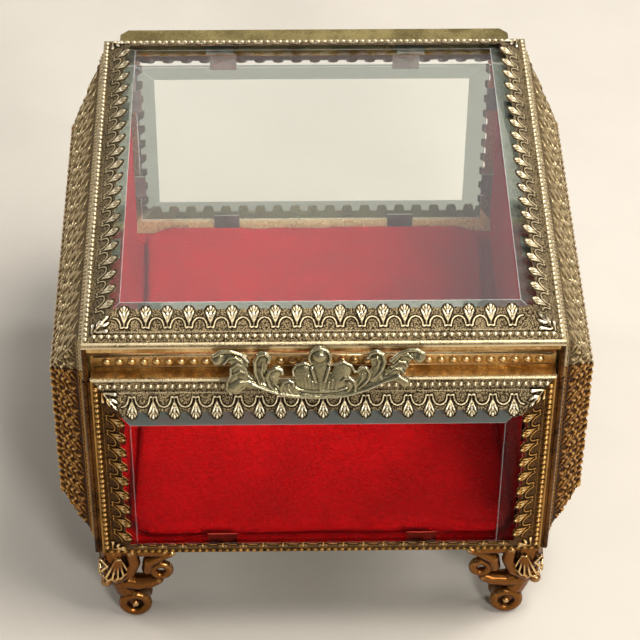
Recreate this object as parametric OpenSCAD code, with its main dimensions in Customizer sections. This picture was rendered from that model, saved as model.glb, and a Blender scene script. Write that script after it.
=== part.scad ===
// Glass casket: stamped strips round bevelled panes, swelled embossed sides, cast feet, hinged lid.
// Millimetres. +Z is up and the front faces -Y. The toes of the feet stand on z = 0.

/* [Box] */
// Width of the lid's rim
rim_width = 110; // [90:1:160]
// Depth of the lid's rim
rim_depth = 117.5; // [90:0.5:160]
// Height of the front frame above the bottom of the case
front_height = 57.4; // [45:0.2:80]
// Height of the back frame
back_height = 64.6; // [52:0.2:88]
// Height of the lid's rim above the bottom of the case
rim_height = 68.1; // [56:0.1:92]
// Height of the feet
foot_height = 25; // [18:0.5:32]

/* [Stamped strips] */
// Width of a strip, measured square to the box
strip_run = 7.6; // [6:0.1:10]
// How far its leaf tips stand proud of its outer edge
strip_rise = 5.1; // [3:0.1:7]
// Thickness of the sheet, measured square to the box
strip_sheet = 0.6; // [0.5:0.05:0.7]
// Width and depth of the folded rim along the outer edge
strip_fold = 1; // [0.8:0.05:1.2]
// Leaves on a front strip
front_leaves = 19; // [13:1:25]
// Leaves on a side strip of the lid
side_leaves = 20; // [13:1:25]
// Leaves on a front stile
stile_leaves = 9; // [6:1:14]

/* [Swelled sides] */
// How far a side stands out past the rim
side_swell = 8.9; // [6:0.1:12]
// Distance from the front plane to the start of a chamfer
chamfer_start = 3.5; // [3.2:0.1:5]
// Distance from the front plane to the upright side face
chamfer_end = 12.7; // [10:0.1:18]
// Height where the upright side face begins
hip_height = 8.95; // [6:0.05:12]
// Height of the parting line along the side
parting_low = 49.97; // [42:0.01:52]
// Height of the parting line at the posts
parting_high = 57.25; // [54:0.01:60]
// Gap between the lid and the case along the parting line
parting_gap = 0.3; // [0.2:0.05:0.6]
// Thickness of the embossed sheet
side_sheet = 0.8; // [0.6:0.05:1]

/* [Panes] */
// Thickness of the lid's pane
lid_pane = 2.3; // [2:0.1:3]
// Height of the lid's pane above the rim
lid_pane_lift = 3.1; // [2.6:0.1:3.2]
// Fall of the lid pane's bevel
lid_bevel_fall = 1.4; // [1.2:0.1:1.6]
// Thickness of the front and back panes
case_pane = 2.6; // [2.2:0.1:3]
// How far these panes stand proud of the outer edge of their strips
case_pane_lift = 3.6; // [3:0.1:3.6]
// Fall of their bevels
case_bevel_fall = 1.6; // [1.4:0.1:1.6]

/* [Inside] */
// Distance of a lining's velvet face from the middle
lining_reach = 48.5; // [40:0.5:60]
// Thickness of a lining
lining_sheet = 1.5; // [1:0.1:2]
// Height of the linings
lining_top = 62; // [50:0.5:64]
// Thickness of the floor pad at its crown
pad_crown = 5.3; // [4:0.1:8]

/* [Hinge] */
// Radius of the hinge pin
pin_radius = 0.5; // [0.4:0.05:0.6]
// Clearance between the pin and its knuckles
pin_clearance = 0.05; // [0.02:0.01:0.08]
// Radius of a knuckle
knuckle_radius = 1; // [0.9:0.05:1.1]
// Distance of the pin behind the rim
pin_back = 0.78; // [0.7:0.02:0.9]
// Depth of the pin below the rim
pin_drop = 2.1; // [2:0.05:2.3]
// Distance of the hinge plate's back edge behind the rim
hinge_back = 7.5; // [6:0.1:9]

/* [Hidden] */

// Colours of the views
gilt = [0.62, 0.52, 0.3];
bronze = [0.5, 0.36, 0.22];
velvet = [0.62, 0.06, 0.1];
clear = [0.8, 0.86, 0.86, 0.35];
sheet = [0.42, 0.4, 0.3];

// Worked out from the values above. Inside the modules z = 0 is the bottom of the case,
// and y = 0 is its middle.
half_width = rim_width / 2;
half_depth = rim_depth / 2;
frame_reach = half_width - 1.5;
side_reach = half_width + side_swell;
rim_underside = rim_height - strip_fold;
bottom_sheet = 1;
board_sheet = 2;
board_top = bottom_sheet + board_sheet;
edge_gap = 0.2;
round_faces = 32;

// The pull: a plate that leans out from the lip
pull_sheet = 1.6;
pull_lean = 17.8;
pull_top = 0.2;
pull_stand = 0.4;
pull_length = 12.9;
pull_front = pull_stand + pull_length * sin(pull_lean) + pull_sheet * cos(pull_lean);

// Moves the box to its place: centred between the pull and the hinge plate, on its feet
module placed() {
    translate([0, (pull_front - hinge_back) / 2, foot_height]) children();
}

module on_side(side) {
    mirror([side > 0 ? 0 : 1, 0, 0]) children();
}

module at_end(end) {
    mirror([0, end > 0 ? 1 : 0, 0]) children();
}

// Planes: [unit normal pointing out of the piece, distance from the origin]
function unit(v) = v / norm(v);
function plane(normal, point) = [unit(normal), unit(normal) * point];
function sunk(face, depth) = [face[0], face[1] - depth];
function mitre(a, b) = [a[0] - b[0], a[1] - b[1]];
function meet(a, b, c) =
    (a[1] * cross(b[0], c[0]) + b[1] * cross(c[0], a[0]) + c[1] * cross(a[0], b[0]))
    / (a[0] * cross(b[0], c[0]));

// A sheet under the plane `outer`, bounded by `sides`, which run anticlockwise seen from outside
module panel(outer, sides, thickness) {
    n = len(sides);
    corners = [
        for (face = [outer, sunk(outer, thickness)], i = [0 : n - 1])
            meet(face, sides[i], sides[(i + 1) % n])
    ];
    polyhedron(corners, concat(
        [[for (i = [n - 1 : -1 : 0]) i]],
        [[for (i = [0 : n - 1]) n + i]],
        [for (i = [0 : n - 1]) let (j = (i + 1) % n) [i, j, n + j, n + i]]
    ));
}

// The planes of the right-hand side
front_edge = -half_depth + chamfer_start;
chamfer_run = chamfer_end - chamfer_start;
face_plane = plane([1, 0, 0], [side_reach, 0, 0]);
chamfer_front_plane = plane([chamfer_run, -side_swell, 0], [half_width, front_edge, 0]);
chamfer_back_plane = plane([chamfer_run, side_swell, 0], [half_width, -front_edge, 0]);
hip_plane = plane([hip_height, 0, -side_swell], [half_width, 0, 0]);
wing_plane = plane([rim_height - parting_low, 0, side_swell], [half_width, 0, rim_height]);
part_plane = plane([parting_high - parting_low, 0, side_swell], [half_width, 0, parting_high]);
part_drop = parting_gap * part_plane[0][2];
case_top_plane = sunk(part_plane, part_drop);
shelf_plane = plane(
    [lining_top - 4 - parting_low, 0, side_reach - lining_reach - lining_sheet],
    [side_reach, 0, parting_low - parting_gap]
);
rim_plane = plane([1, 0, 0], [half_width, 0, 0]);
post_plane_front = plane([0, -1, 0], [0, front_edge, 0]);
post_plane_back = plane([0, 1, 0], [0, -front_edge, 0]);
underside_plane = plane([0, 0, 1], [0, 0, rim_underside]);

// One stamped strip along X: outer edge on y = 0, leaf tips on y = strip_run, rising toward them
module strip(length, leaves) {
    leaf_depth = 1.6;
    tip_length = length - 2 * strip_run;
    pitch = tip_length / leaves;
    leaf_radius = 0.44 * pitch;
    root = strip_run - leaf_depth;
    slope = strip_rise / strip_run;
    intersection() {
        translate([0, 0, -2 * strip_fold]) linear_extrude(strip_rise + 4 * strip_fold) {
            polygon([
                [-length / 2, 0], [length / 2, 0],
                [length / 2 - root, root], [root - length / 2, root]
            ]);
            for (i = [0 : leaves - 1])
                translate([(i - (leaves - 1) / 2) * pitch, strip_run - leaf_radius])
                    circle(leaf_radius, $fn = round_faces);
        }
        rotate([90, 0, 90]) linear_extrude(length, center = true) polygon([
            [0, 0], [0, -strip_fold], [strip_fold, -strip_fold],
            [strip_fold, slope * strip_fold - strip_sheet],
            [strip_run, strip_rise - strip_sheet], [strip_run, strip_rise]
        ]);
    }
}

// Strip number k of a frame round the origin: 0 below, 1 right, 2 above, 3 left
module frame_strip(k, reach_x, reach_y, leaves) {
    across = k % 2 == 0;
    rotate([0, 0, 90 * k])
        translate([0, across ? -reach_y : -reach_x, 0])
            strip(2 * (across ? reach_x : reach_y), leaves);
}

// Stands a frame up at the front of the case, or at its back
module stood(end, height) {
    at_end(end) translate([0, -half_depth, height / 2]) rotate([90, 0, 0]) children();
}

// A pane with bevelled edges. Its middle face is on z = 0
module pane(outer_low, outer_high, inner_low, inner_high, thickness, fall) {
    function ring(low, high, z) = [
        [low[0], low[1], z], [high[0], low[1], z], [high[0], high[1], z], [low[0], high[1], z]
    ];
    points = concat(
        ring(outer_low, outer_high, -thickness),
        ring(outer_low, outer_high, -fall),
        ring(inner_low, inner_high, 0)
    );
    polyhedron(points, concat(
        [[0, 1, 2, 3]],
        [[11, 10, 9, 8]],
        [for (k = [0, 4], i = [0 : 3]) let (j = (i + 1) % 4) [k + j, k + i, k + 4 + i, k + 4 + j]]
    ));
}

// Small bent tabs, two to a side, from a strip's underside to below the pane's back face at -depth
module tabs(reach_x, reach_y, back, reach) {
    tab_sheet = 0.4;
    tab_width = 7;
    tab_place = 0.45;
    slope = strip_rise / strip_run;
    function under(z) = (z + strip_sheet) / slope;
    for (k = [0 : 3], s = [-1, 1]) {
        across = k % 2 == 0;
        rotate([0, 0, 90 * k])
            translate([s * tab_place * (across ? reach_x : reach_y), across ? -reach_y : -reach_x, 0])
                rotate([90, 0, 90]) linear_extrude(tab_width, center = true) polygon([
                    [under(back - tab_sheet), back - tab_sheet], [reach, back - tab_sheet],
                    [reach, back], [under(back), back]
                ]);
    }
}

// ---- Case ----

module bottom_plate() {
    color(sheet) linear_extrude(bottom_sheet) {
        square([rim_width, -2 * front_edge], center = true);
        square([2 * frame_reach, rim_depth - 2 * strip_fold], center = true);
    }
}

module floor_board() {
    color(sheet) translate([0, 0, bottom_sheet + board_sheet / 2])
        cube([2 * (lining_reach + lining_sheet), rim_depth - 2 * strip_fold - 1, board_sheet], center = true);
}

// The velvet floor: a thin pad with round corners, rolled edges and a low crown
module floor_pad() {
    half_x = lining_reach - edge_gap;
    half_y = half_depth - strip_fold - edge_gap;
    corner = 6;
    steps = 6;
    // Each ring: how far it is drawn in, and its height as a share of the crown
    rings = [[1, 0], [0, 0.2], [0, 0.55], [0.7, 0.78], [2.2, 0.88], [8, 0.94], [24, 0.985]];
    function ring(inset, z) = [
        for (q = [0 : 3], i = [0 : steps]) let (
            a = 90 * (q + i / steps),
            sx = q == 0 || q == 3 ? 1 : -1,
            sy = q < 2 ? 1 : -1,
            r = max(corner - inset, 0.5)
        ) [sx * (half_x - inset - r) + r * cos(a), sy * (half_y - inset - r) + r * sin(a), z]
    ];
    n = 4 * (steps + 1);
    m = len(rings);
    points = concat(
        [for (k = rings) each ring(k[0], board_top + k[1] * pad_crown)],
        [[0, 0, board_top], [0, 0, board_top + pad_crown]]
    );
    faces = concat(
        [for (i = [0 : n - 1]) let (j = (i + 1) % n) [m * n, i, j]],
        [for (k = [0 : m - 2], i = [0 : n - 1]) let (j = (i + 1) % n, a = k * n) [a + i, a + n + i, a + n + j]],
        [for (k = [0 : m - 2], i = [0 : n - 1]) let (j = (i + 1) % n, a = k * n) [a + i, a + n + j, a + j]],
        [for (i = [0 : n - 1]) let (j = (i + 1) % n, a = (m - 1) * n) [a + j, a + i, m * n + 1]]
    );
    color(velvet) polyhedron(points, faces);
}

module lining(side) {
    reach = half_depth - strip_fold - edge_gap;
    collar_back = 3.95;
    color(velvet) on_side(side) translate([lining_reach, 0, 0])
        rotate([90, 0, 90]) linear_extrude(lining_sheet) polygon([
            [-reach, board_top], [reach, board_top], [reach, lining_top],
            [collar_back - half_depth, lining_top], [collar_back - half_depth, front_height - 0.1],
            [-reach, front_height - 0.1]
        ]);
}

module lining_left() lining(-1);
module lining_right() lining(1);

module front_strip(k) {
    color(gilt) stood(-1, front_height)
        frame_strip(k, frame_reach, front_height / 2, k % 2 == 0 ? front_leaves : stile_leaves);
}

module front_frame_bottom() front_strip(0);
module front_frame_right() front_strip(1);
module front_frame_top() front_strip(2);
module front_frame_left() front_strip(3);

module back_strip(k) {
    color(gilt) stood(1, back_height)
        frame_strip(k, frame_reach, back_height / 2, k % 2 == 0 ? front_leaves : stile_leaves + 1);
}

module back_frame_bottom() back_strip(0);
module back_frame_right() back_strip(1);
module back_frame_top() back_strip(2);
module back_frame_left() back_strip(3);

// The panes have settled a little to one side and down in their frames
module front_glass() {
    mid = front_height / 2;
    color(clear) stood(-1, front_height) translate([0, 0, case_pane_lift])
        pane([-48.9, 4 - mid], [46.9, 51.4 - mid], [-44.5, 6.8 - mid], [42, 46.6 - mid],
             case_pane, case_bevel_fall);
}

module back_glass() {
    mid = back_height / 2;
    color(clear) stood(1, back_height) translate([0, 0, case_pane_lift])
        pane([-47.6, 5.2 - mid], [46.4, 57.8 - mid], [-42.6, 10.2 - mid], [41.4, 52 - mid],
             case_pane, case_bevel_fall);
}

module front_glass_tabs() {
    color(sheet) stood(-1, front_height)
        tabs(frame_reach, front_height / 2, case_pane_lift - case_pane, strip_run - edge_gap);
}

module back_glass_tabs() {
    color(sheet) stood(1, back_height)
        tabs(frame_reach, back_height / 2, case_pane_lift - case_pane, strip_run - edge_gap);
}

// Ledge over the front frame, with the beaded upstand behind it
module front_collar() {
    ledge = 1;
    upstand_front = 2.9;
    upstand_back = 3.9;
    upstand_top = 62.5;
    color(gilt) translate([0, -half_depth, 0])
        rotate([90, 0, 90]) linear_extrude(2 * (frame_reach - 0.3), center = true) polygon([
            [0, front_height], [upstand_back, front_height], [upstand_back, upstand_top],
            [upstand_front, upstand_top], [upstand_front, front_height + ledge], [0, front_height + ledge]
        ]);
}

// A corner post: flat inside, with one round rib along its outer corner
module post_plan(inner, outer, rib) {
    translate([inner, rib]) square([outer - inner - rib / 2, chamfer_start - rib]);
    translate([inner, 0.3]) square([outer - inner - rib, rib]);
    translate([outer - rib, rib]) circle(rib, $fn = round_faces);
}

module post(side, end) {
    color(gilt) on_side(side) at_end(end) translate([0, -half_depth, 0])
        linear_extrude(parting_high - parting_gap) post_plan(frame_reach, half_width + 0.3, 0.7);
}

module post_front_left() post(-1, -1);
module post_front_right() post(1, -1);
module post_back_left() post(-1, 1);
module post_back_right() post(1, 1);

module side_face(side) {
    color(gilt) on_side(side) panel(face_plane, [
        mitre(face_plane, hip_plane), mitre(face_plane, chamfer_back_plane),
        case_top_plane, mitre(face_plane, chamfer_front_plane)
    ], side_sheet);
}

module side_face_left() side_face(-1);
module side_face_right() side_face(1);

module chamfer(side, end) {
    color(gilt) on_side(side) at_end(end) panel(chamfer_front_plane, [
        mitre(chamfer_front_plane, hip_plane), mitre(chamfer_front_plane, face_plane),
        case_top_plane, post_plane_front
    ], side_sheet);
}

module chamfer_front_left() chamfer(-1, -1);
module chamfer_front_right() chamfer(1, -1);
module chamfer_back_left() chamfer(-1, 1);
module chamfer_back_right() chamfer(1, 1);

module lower_hip(side) {
    color(gilt) on_side(side) panel(hip_plane, [
        rim_plane, mitre(hip_plane, chamfer_back_plane),
        mitre(hip_plane, face_plane), mitre(hip_plane, chamfer_front_plane)
    ], side_sheet);
}

module lower_hip_left() lower_hip(-1);
module lower_hip_right() lower_hip(1);

module side_shelf(side) {
    end_gap = 0.5;
    color(sheet) on_side(side) panel(shelf_plane, [
        sunk(post_plane_front, end_gap), sunk(chamfer_front_plane, side_sheet),
        sunk(face_plane, side_sheet), sunk(chamfer_back_plane, side_sheet),
        sunk(post_plane_back, end_gap), plane([-1, 0, 0], [lining_reach + lining_sheet, 0, 0])
    ], side_sheet);
}

module side_shelf_left() side_shelf(-1);
module side_shelf_right() side_shelf(1);

// A thick stroke through points [x, y, z, radius]
module stroke(points) {
    for (i = [0 : len(points) - 2]) hull() {
        for (p = [points[i], points[i + 1]])
            translate([p[0], p[1], p[2]]) sphere(p[3], $fn = 8);
    }
}

// One scrolled arm of a foot, along X from the corner: a ring under the frame and two links
module foot_arm() {
    ring_x = 15;
    ring_z = -8.8;
    ring_radius = 3.1;
    ring_hole = 1.5;
    stroke([[5, 3.8, -4.5, 3], [10, 3.2, -5.6, 2.6], [14.6, 2.6, -4.2, 1.7], [18.4, 2.2, -1.7, 1.5]]);
    stroke([[5, 3.8, -12.6, 3], [10, 3.3, -13.8, 2.6], [13.2, 2.8, -13, 2.2]]);
    translate([ring_x, 3.8, ring_z]) rotate([90, 0, 0]) difference() {
        cylinder(h = 2.8, r = ring_radius, $fn = round_faces);
        translate([0, 0, -1]) cylinder(h = 5, r = ring_hole, $fn = round_faces);
    }
}

// A cast foot. Its origin is the bottom corner of the rim, x and y run in under the box
module foot_shape() {
    toe_x = 8.6;
    toe_y = 4.3;
    toe_z = -21;
    toe_radius = 4.4;
    toe_width = 6.6;
    toe_hole = 2.4;
    intersection() {
        union() {
            stroke([
                [3.9, 3.9, -2, 3.3], [4.1, 4.1, -7, 3.8], [5, 4.2, -12, 3.5],
                [6.6, 4.3, -16.6, 3.3], [7.6, 4.3, -20.4, 3.3]
            ]);
            foot_arm();
            mirror([1, -1, 0]) foot_arm();
            difference() {
                translate([toe_x, toe_y + toe_width / 2, toe_z]) rotate([90, 0, 0])
                    cylinder(h = toe_width, r = toe_radius, $fn = round_faces);
                for (s = [-1, 1]) translate([toe_x, toe_y + s * toe_width / 2 + 1.4, toe_z])
                    rotate([90, 0, 0]) cylinder(h = 2.8, r = toe_hole, $fn = round_faces);
            }
        }
        translate([-5, -5, -foot_height]) cube([40, 40, foot_height]);
    }
}

module foot(side, end) {
    color(bronze) on_side(side) at_end(end)
        translate([half_width, -half_depth, 0]) mirror([1, 0, 0]) foot_shape();
}

module foot_front_left() foot(-1, -1);
module foot_front_right() foot(1, -1);
module foot_back_left() foot(-1, 1);
module foot_back_right() foot(1, 1);

// ---- Hinge ----

pin_y = half_depth + pin_back;
pin_z = rim_height - pin_drop;
knuckle_length = 20;
knuckle_gap = 0.2;
hinge_sheet = 0.8;
plate_front = half_depth + pin_back + 1.32;
plate_top = rim_height - 1.7;
plate_reach = 51;

module knuckle(middle, length) {
    translate([middle - length / 2, pin_y, pin_z]) rotate([0, 90, 0]) difference() {
        cylinder(h = length, r = knuckle_radius, $fn = round_faces);
        translate([0, 0, -1])
            cylinder(h = length + 2, r = pin_radius + pin_clearance, $fn = round_faces);
    }
}

// The plate behind the lid. It is bent down and lies on the back frame's top strip
module hinge_leaf_case() {
    slope = strip_run / strip_rise;
    web_back = plate_front + hinge_sheet;
    flange_tip = half_depth + 4;
    function strip_face(y) = back_height - slope * (y - half_depth);
    function flange_face(y) = strip_face(y - 0.97);
    color(sheet) {
        intersection() {
            rotate([90, 0, 90]) linear_extrude(2 * plate_reach, center = true) polygon([
                [plate_front, plate_top], [half_depth + hinge_back, plate_top],
                [half_depth + hinge_back, plate_top - hinge_sheet],
                [web_back, plate_top - hinge_sheet], [web_back, flange_face(web_back)],
                [flange_tip + 0.97, strip_face(flange_tip)], [flange_tip, strip_face(flange_tip)],
                [plate_front, strip_face(plate_front)]
            ]);
            linear_extrude(rim_height) polygon([
                [-plate_reach, half_depth], [plate_reach, half_depth],
                [plate_reach, half_depth + hinge_back - 2], [plate_reach - 2, half_depth + hinge_back],
                [2 - plate_reach, half_depth + hinge_back], [-plate_reach, half_depth + hinge_back - 2]
            ]);
        }
        for (k = [-1 : 1]) {
            knuckle(2 * k * knuckle_length, knuckle_length);
            translate([(2 * k - 0.5) * knuckle_length, pin_y + 0.8, plate_top - hinge_sheet])
                cube([knuckle_length, plate_front - pin_y - 0.7, hinge_sheet - 0.2]);
        }
    }
}

module hinge_pin() {
    color(sheet) translate([-2.5 * knuckle_length, pin_y, pin_z])
        rotate([0, 90, 0]) cylinder(h = 5 * knuckle_length, r = pin_radius, $fn = round_faces);
}

module hinge_leaf_lid() {
    leaf_depth = 6;
    leaf_back = half_depth - 0.9;
    color(sheet) {
        translate([-plate_reach + 3, half_depth - leaf_depth, rim_underside - 0.6])
            cube([2 * (plate_reach - 3), leaf_depth - 0.9, 0.6]);
        for (k = [-1, 1]) {
            knuckle(k * knuckle_length, knuckle_length - 2 * knuckle_gap);
            translate([(k - 0.5) * knuckle_length + knuckle_gap, leaf_back - 0.1, pin_z + 0.6])
                cube([knuckle_length - 2 * knuckle_gap, pin_y - leaf_back + 0.1, knuckle_radius - 0.6]);
        }
    }
}

// ---- Lid ----

module lid_strip(k) {
    color(gilt) translate([0, 0, rim_height])
        frame_strip(k, half_width, half_depth, k % 2 == 0 ? front_leaves : side_leaves);
}

module lid_frame_front() lid_strip(0);
module lid_frame_right() lid_strip(1);
module lid_frame_back() lid_strip(2);
module lid_frame_left() lid_strip(3);

module lid_glass() {
    color(clear) translate([0, -half_depth, rim_height + lid_pane_lift])
        pane([-51, 6.9], [49.8, 113.8], [-46.4, 11.5], [45.2, 109.2], lid_pane, lid_bevel_fall);
}

module lid_glass_tabs() {
    color(sheet) translate([0, 0, rim_height])
        tabs(half_width, half_depth, lid_pane_lift - lid_pane, strip_run + 0.6);
}

module lid_lip() {
    lip_height = 0.9;
    color(gilt) translate([0, strip_fold / 2 - half_depth, rim_underside - lip_height / 2])
        cube([2 * (half_width - 1.3), strip_fold, lip_height], center = true);
}

module lid_post(side, end) {
    color(gilt) on_side(side) at_end(end) translate([0, -half_depth, parting_high])
        linear_extrude(rim_underside - parting_high) post_plan(half_width - 1.3, half_width, 0.6);
}

module lid_post_front_left() lid_post(-1, -1);
module lid_post_front_right() lid_post(1, -1);
module lid_post_back_left() lid_post(-1, 1);
module lid_post_back_right() lid_post(1, 1);

module lid_wing(side) {
    color(gilt) on_side(side) panel(wing_plane, [
        part_plane, mitre(wing_plane, chamfer_back_plane),
        rim_plane, mitre(wing_plane, chamfer_front_plane)
    ], side_sheet);
}

module lid_wing_left() lid_wing(-1);
module lid_wing_right() lid_wing(1);

module lid_hip(side, end) {
    color(gilt) on_side(side) at_end(end) panel(chamfer_front_plane, [
        part_plane, mitre(chamfer_front_plane, wing_plane), underside_plane, post_plane_front
    ], side_sheet);
}

module lid_hip_front_left() lid_hip(-1, -1);
module lid_hip_front_right() lid_hip(1, -1);
module lid_hip_back_left() lid_hip(-1, 1);
module lid_hip_back_right() lid_hip(1, 1);

// A thick stroke of the pull through points [x, distance down from its top, radius]
module pull_stroke(points) {
    for (i = [0 : len(points) - 2]) hull() {
        for (p = [points[i], points[i + 1]])
            translate([p[0], -p[1]]) circle(p[2], $fn = 12);
    }
}

// The shell and scroll pull, a cast plate that hangs from the lip and leans out
module handle_pull() {
    color(bronze) translate([0, -half_depth - pull_stand, rim_height + pull_top])
        rotate([90 - pull_lean, 0, 0]) linear_extrude(pull_sheet) {
            // Shell
            polygon([
                [-12.6, -5.5], [-11, -4.5], [-8, -5], [-6.4, -4.3], [-4, -4.1], [-3.4, -3.9],
                [1.6, -3.9], [3.5, -3.8], [6, -4.3], [7, -5.1], [8.5, -4.3], [10, -4.3],
                [11, -6.8], [10, -9.4], [7, -11.5], [0, -12.3], [-6, -12], [-10, -10.8], [-12.5, -9.2]
            ]);
            // Finial
            pull_stroke([[-1, 2.1, 2.1], [-1, 4.6, 2.5]]);
            // Lower rail with its two volutes
            pull_stroke([
                [-20.2, 9.9, 1.9], [-17.8, 8.5, 0.8], [-14, 9.4, 0.8], [-10, 11.3, 0.8],
                [-5, 12, 0.8], [0, 12.1, 0.8], [5, 11.8, 0.8], [9.2, 10.6, 0.9],
                [13, 8.4, 0.9], [16.5, 7.3, 0.9], [18.6, 9.3, 1.4]
            ]);
            // Left leaves
            pull_stroke([[-19.8, 7.8, 2], [-18.9, 4.8, 2.1], [-19.4, 2.6, 2], [-22, 1.9, 1.3], [-24.1, 2.7, 1.7]]);
            pull_stroke([[-15.6, 8.3, 1.2], [-14.4, 5.4, 1.6], [-13.9, 2.4, 1.8]]);
            // Right leaves
            pull_stroke([[14.6, 7.1, 1.3], [17.2, 4.6, 2], [18.2, 2.4, 1.6], [20.6, 1.7, 1.2], [21.8, 2.8, 1.5]]);
            pull_stroke([[11.2, 8.2, 1.5], [12.4, 5, 1.6], [12.2, 2.3, 1.8]]);
        }
    // Studs that carry it on the lip
    stud_radius = 0.8;
    for (x = [-14, 12.2])
        color(bronze) translate([x, -half_depth, rim_underside - 0.1]) rotate([90, 0, 0])
            cylinder(h = pull_stand + 1, r = stud_radius, $fn = round_faces);
}

placed() bottom_plate();
placed() floor_board();
placed() floor_pad();
placed() lining_left();
placed() lining_right();
placed() front_frame_bottom();
placed() front_frame_right();
placed() front_frame_top();
placed() front_frame_left();
placed() back_frame_bottom();
placed() back_frame_right();
placed() back_frame_top();
placed() back_frame_left();
placed() front_glass();
placed() back_glass();
placed() front_glass_tabs();
placed() back_glass_tabs();
placed() front_collar();
placed() post_front_left();
placed() post_front_right();
placed() post_back_left();
placed() post_back_right();
placed() side_face_left();
placed() side_face_right();
placed() chamfer_front_left();
placed() chamfer_front_right();
placed() chamfer_back_left();
placed() chamfer_back_right();
placed() lower_hip_left();
placed() lower_hip_right();
placed() side_shelf_left();
placed() side_shelf_right();
placed() foot_front_left();
placed() foot_front_right();
placed() foot_back_left();
placed() foot_back_right();
placed() hinge_leaf_case();
placed() hinge_pin();
placed() lid_frame_front();
placed() lid_frame_right();
placed() lid_frame_back();
placed() lid_frame_left();
placed() lid_glass();
placed() lid_glass_tabs();
placed() lid_lip();
placed() lid_post_front_left();
placed() lid_post_front_right();
placed() lid_post_back_left();
placed() lid_post_back_right();
placed() lid_wing_left();
placed() lid_wing_right();
placed() lid_hip_front_left();
placed() lid_hip_front_right();
placed() lid_hip_back_left();
placed() lid_hip_back_right();
placed() hinge_leaf_lid();
placed() handle_pull();
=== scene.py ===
"""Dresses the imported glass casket: stamped strips, embossed sides, bevelled panes, velvet, feet and pull.

Lengths are millimetres in the casket's own frame: x from the middle, y back from the rim's front edge
and z up from the bottom of the case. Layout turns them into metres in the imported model's frame.
"""
import logging
import math
from collections.abc import Callable, Iterable, Sequence
from dataclasses import dataclass, replace
from enum import Enum
from functools import cache, cached_property, partialmethod

import bmesh
import bpy
import numpy as np
from bmesh.types import BMEdge, BMesh, BMVert
from mathutils import Matrix, Vector


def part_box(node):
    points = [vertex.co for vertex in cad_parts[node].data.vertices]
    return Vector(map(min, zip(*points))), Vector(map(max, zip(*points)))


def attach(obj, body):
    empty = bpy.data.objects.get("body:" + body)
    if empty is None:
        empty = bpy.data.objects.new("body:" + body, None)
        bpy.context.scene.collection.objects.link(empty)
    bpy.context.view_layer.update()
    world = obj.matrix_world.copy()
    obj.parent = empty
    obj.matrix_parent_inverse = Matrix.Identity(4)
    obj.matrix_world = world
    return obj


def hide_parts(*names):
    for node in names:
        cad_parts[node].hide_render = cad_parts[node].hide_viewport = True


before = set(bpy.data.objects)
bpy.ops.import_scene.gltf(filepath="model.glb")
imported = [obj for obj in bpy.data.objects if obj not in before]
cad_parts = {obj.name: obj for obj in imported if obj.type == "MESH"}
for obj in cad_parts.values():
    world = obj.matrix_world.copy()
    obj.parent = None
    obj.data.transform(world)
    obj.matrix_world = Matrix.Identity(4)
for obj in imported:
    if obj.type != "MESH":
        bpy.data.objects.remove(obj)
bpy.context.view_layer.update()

LOG = logging.getLogger("casket")
RELIEF = "relief"
MM = 1000
Array = np.ndarray
Point = tuple[float, ...]


# ---------------------------------------------------------------- layout


@dataclass(frozen=True)
class Layout:
    """The casket's place in metres and its driving sizes in millimetres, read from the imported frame."""

    front: float
    floor: float
    width: float
    depth: float
    front_height: float
    back_height: float
    rim: float

    @classmethod
    def read(cls) -> "Layout":
        """Returns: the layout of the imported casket."""
        low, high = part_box("lid_frame_left")
        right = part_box("lid_frame_right")[1]
        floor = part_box("bottom_plate")[0][2]
        fold = 1.0
        return cls(
            front=low[1],
            floor=floor,
            width=2 * MM * right[0],
            depth=MM * (high[1] - low[1]),
            front_height=MM * (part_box("front_frame_top")[1][2] - floor),
            back_height=MM * (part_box("back_frame_top")[1][2] - floor),
            rim=MM * (low[2] - floor) + fold,
        )

    def metres(self) -> Matrix:
        """Returns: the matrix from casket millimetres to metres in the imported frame."""
        return Matrix.Translation((0, self.front, self.floor)) @ Matrix.Scale(0.001, 4)


LAYOUT = Layout.read()


class Body(Enum):
    """The two bodies that a piece may ride on."""

    CASE = "case"
    LID = "lid"


class Side(Enum):
    """Left or right of the casket, as the sign of x."""

    LEFT = -1
    RIGHT = 1

    @property
    def word(self) -> str:
        """Returns: the side's word in node names."""
        return self.name.lower()


class End(Enum):
    """Front or back of the casket."""

    FRONT = "front"
    BACK = "back"


# ---------------------------------------------------------------- shader graphs


@dataclass
class Wire:
    """A socket of a node tree, on which Python arithmetic adds Math nodes."""

    graph: "Graph"
    socket: bpy.types.NodeSocket

    def _math(self, operation: str, other: "Wire | float", turned: bool = False) -> "Wire":
        """Returns: the operation on self and other, or on other and self if turned."""
        first, second = (other, self) if turned else (self, other)
        return self.graph.value("Math", {0: first, 1: second}, operation=operation)

    __add__ = __radd__ = partialmethod(_math, "ADD")
    __mul__ = __rmul__ = partialmethod(_math, "MULTIPLY")
    __sub__ = partialmethod(_math, "SUBTRACT")
    __rsub__ = partialmethod(_math, "SUBTRACT", turned=True)

    def rise(self, start: float, end: float) -> "Wire":
        """Returns: 0 below start, 1 above end and a smooth step between them."""
        span = {"Value": self, "From Min": start, "From Max": end}
        return self.graph.value("MapRange", span, interpolation_type="SMOOTHSTEP")


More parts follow.
